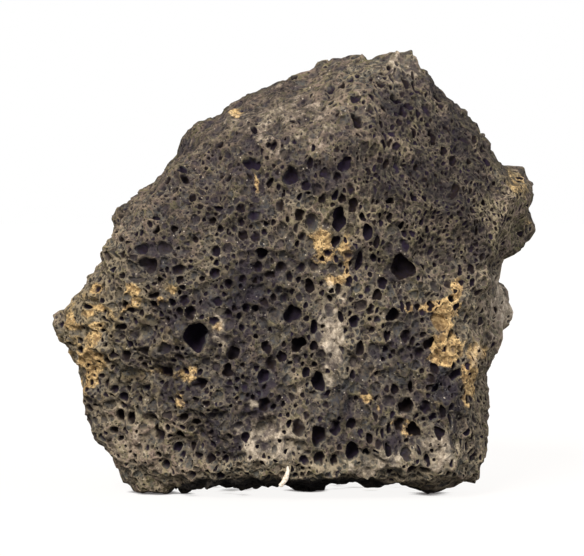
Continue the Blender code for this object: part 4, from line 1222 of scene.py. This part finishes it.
def fleck_finish():
    """Bleached root: cream, browner along its fibres."""
    finish = Finish("bleached_root", Roughness=0.7)
    place = finish.node("ShaderNodeTexCoord", None, None, "Object")
    mottle = finish.noise(place, 0.6, 3.0)
    finish.feed("Base Color", finish.mix(mottle.ramp(0.45, 0.75), FLECK_PALE, FLECK_BROWN))
    bump = {"Strength": 0.4, "Distance": 0.15 * MM, "Height": mottle}
    finish.feed("Normal", finish.node("ShaderNodeBump", None, bump))
    return finish.material


# ---------------------------------------------------------------- studio

CAMERA_DISTANCE = 0.7  # in metres, as is its target
CAMERA_TARGET = (-0.0003, 0.0, 0.044)
CAMERA_RISE = math.radians(2.5)
FRAME_WIDTH, MM_PER_PIXEL = 584, 0.21
SENSOR = 36.0

KEY_LIGHT = {"travel": (0.32, 0.73, -0.60), "strength": 3.4, "softness": 24.0, "colour": (1.0, 0.97, 0.92)}
FILL_LIGHT = {"travel": (-0.85, 0.50, -0.08), "strength": 2.1, "softness": 90.0, "colour": (0.93, 0.95, 1.0)}
SKY_STRENGTH = 0.5
FLOOR_HALF = 2000.0
FLOOR_COLOUR = (0.08, 0.079, 0.078, 1.0)
FLOOR_GLOW = (0.06, 0.058, 0.056)  # light of its own, as a lit table has, that reaches the stone
FLOOR_SEEN = (0.93, 0.915, 0.90)  # and as it looks in the open
FLOOR_CONTACT_SHADOW = (0.12, 0.11, 0.11)  # and as it looks right under a foot, a painted contact shadow
CONTACT_SHADOW_REACH = 1.8  # how near the stone the painted contact shadow darkens the floor, in mm


def place_camera():
    """The camera, at its distance from the target and a little above it, looking along +Y."""
    camera = bpy.data.objects.new("camera", bpy.data.cameras.new("camera"))
    bpy.context.scene.collection.objects.link(camera)
    frame_width = FRAME_WIDTH * MM_PER_PIXEL * MM
    camera.data.sensor_width = SENSOR
    camera.data.lens = SENSOR * CAMERA_DISTANCE / frame_width
    camera.data.clip_end = 20
    away = Vector((0, -math.cos(CAMERA_RISE), math.sin(CAMERA_RISE)))
    camera.location = Vector(CAMERA_TARGET) + CAMERA_DISTANCE * away
    camera.rotation_euler = (math.pi / 2 - CAMERA_RISE, 0, 0)
    bpy.context.scene.camera = camera


def place_light(name, facts):
    """A broad distant light that travels along a direction."""
    light = bpy.data.lights.new(name, "SUN")
    light.energy = facts["strength"]
    light.angle = math.radians(facts["softness"])
    light.color = facts["colour"]
    lamp = bpy.data.objects.new(name, light)
    lamp.rotation_euler = Vector(facts["travel"]).to_track_quat("-Z", "Y").to_euler()
    bpy.context.scene.collection.objects.link(lamp)


def light_sky():
    """An even white surround, seen at full strength and lighting the stone at less."""
    world = bpy.data.worlds.new("studio")
    bpy.context.scene.world = world
    world.use_nodes = True
    nodes, links = world.node_tree.nodes, world.node_tree.links
    surround = nodes["Background"]
    surround.inputs["Color"].default_value = (0.96, 0.98, 1.0, 1.0)
    surround.inputs["Strength"].default_value = SKY_STRENGTH
    seen = nodes.new("ShaderNodeBackground")
    seen.inputs["Color"].default_value = (1.0, 1.0, 1.0, 1.0)
    mix = nodes.new("ShaderNodeMixShader")
    links.new(nodes.new("ShaderNodeLightPath").outputs["Is Camera Ray"], mix.inputs["Fac"])
    links.new(surround.outputs["Background"], mix.inputs[1])
    links.new(seen.outputs["Background"], mix.inputs[2])
    links.new(mix.outputs["Shader"], nodes["World Output"].inputs["Surface"])


def lay_floor():
    """The pale floor: one broad square, which glows, with a painted contact shadow near the stone."""
    corners = FLOOR_HALF * np.array(((-1, -1, 0), (1, -1, 0), (1, 1, 0), (-1, 1, 0)))
    floor = make_mesh("pale_floor", corners, [(0, 1, 2, 3)])
    finish = Finish("pale_floor", Roughness=0.9, Specular_IOR_Level=0.1, Base_Color=FLOOR_COLOUR)
    near = finish.node("ShaderNodeAmbientOcclusion", {"samples": 8}, {"Distance": CONTACT_SHADOW_REACH * MM}, "AO")
    seen = finish.node("ShaderNodeLightPath", None, None, "Is Camera Ray")
    finish.shader.inputs["Emission Strength"].default_value = 1.0
    # Painted contact shadow: where the stone is near, the floor as seen turns dark.
    glow = finish.mix(near.ramp(0.1, 0.9), FLOOR_CONTACT_SHADOW, FLOOR_SEEN)
    finish.feed("Emission Color", finish.mix(seen, FLOOR_GLOW, glow))
    floor.data.materials.append(finish.material)


# ---------------------------------------------------------------- the whole scene

bpy.context.scene.view_settings.view_transform = "Standard"
place_camera()
place_light("key", KEY_LIGHT)
place_light("fill", FILL_LIGHT)
light_sky()
lay_floor()

HOLLOWS = [make_hollows(facts) for facts in HOLLOW_LAYERS]
stone = make_stone()
stone.data.materials.append(basalt_finish())
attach(stone, "root")
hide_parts("lava_rock")

fleck = make_fleck()
fleck.data.materials.append(fleck_finish())
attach(fleck, "root")
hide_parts("pale_fleck")
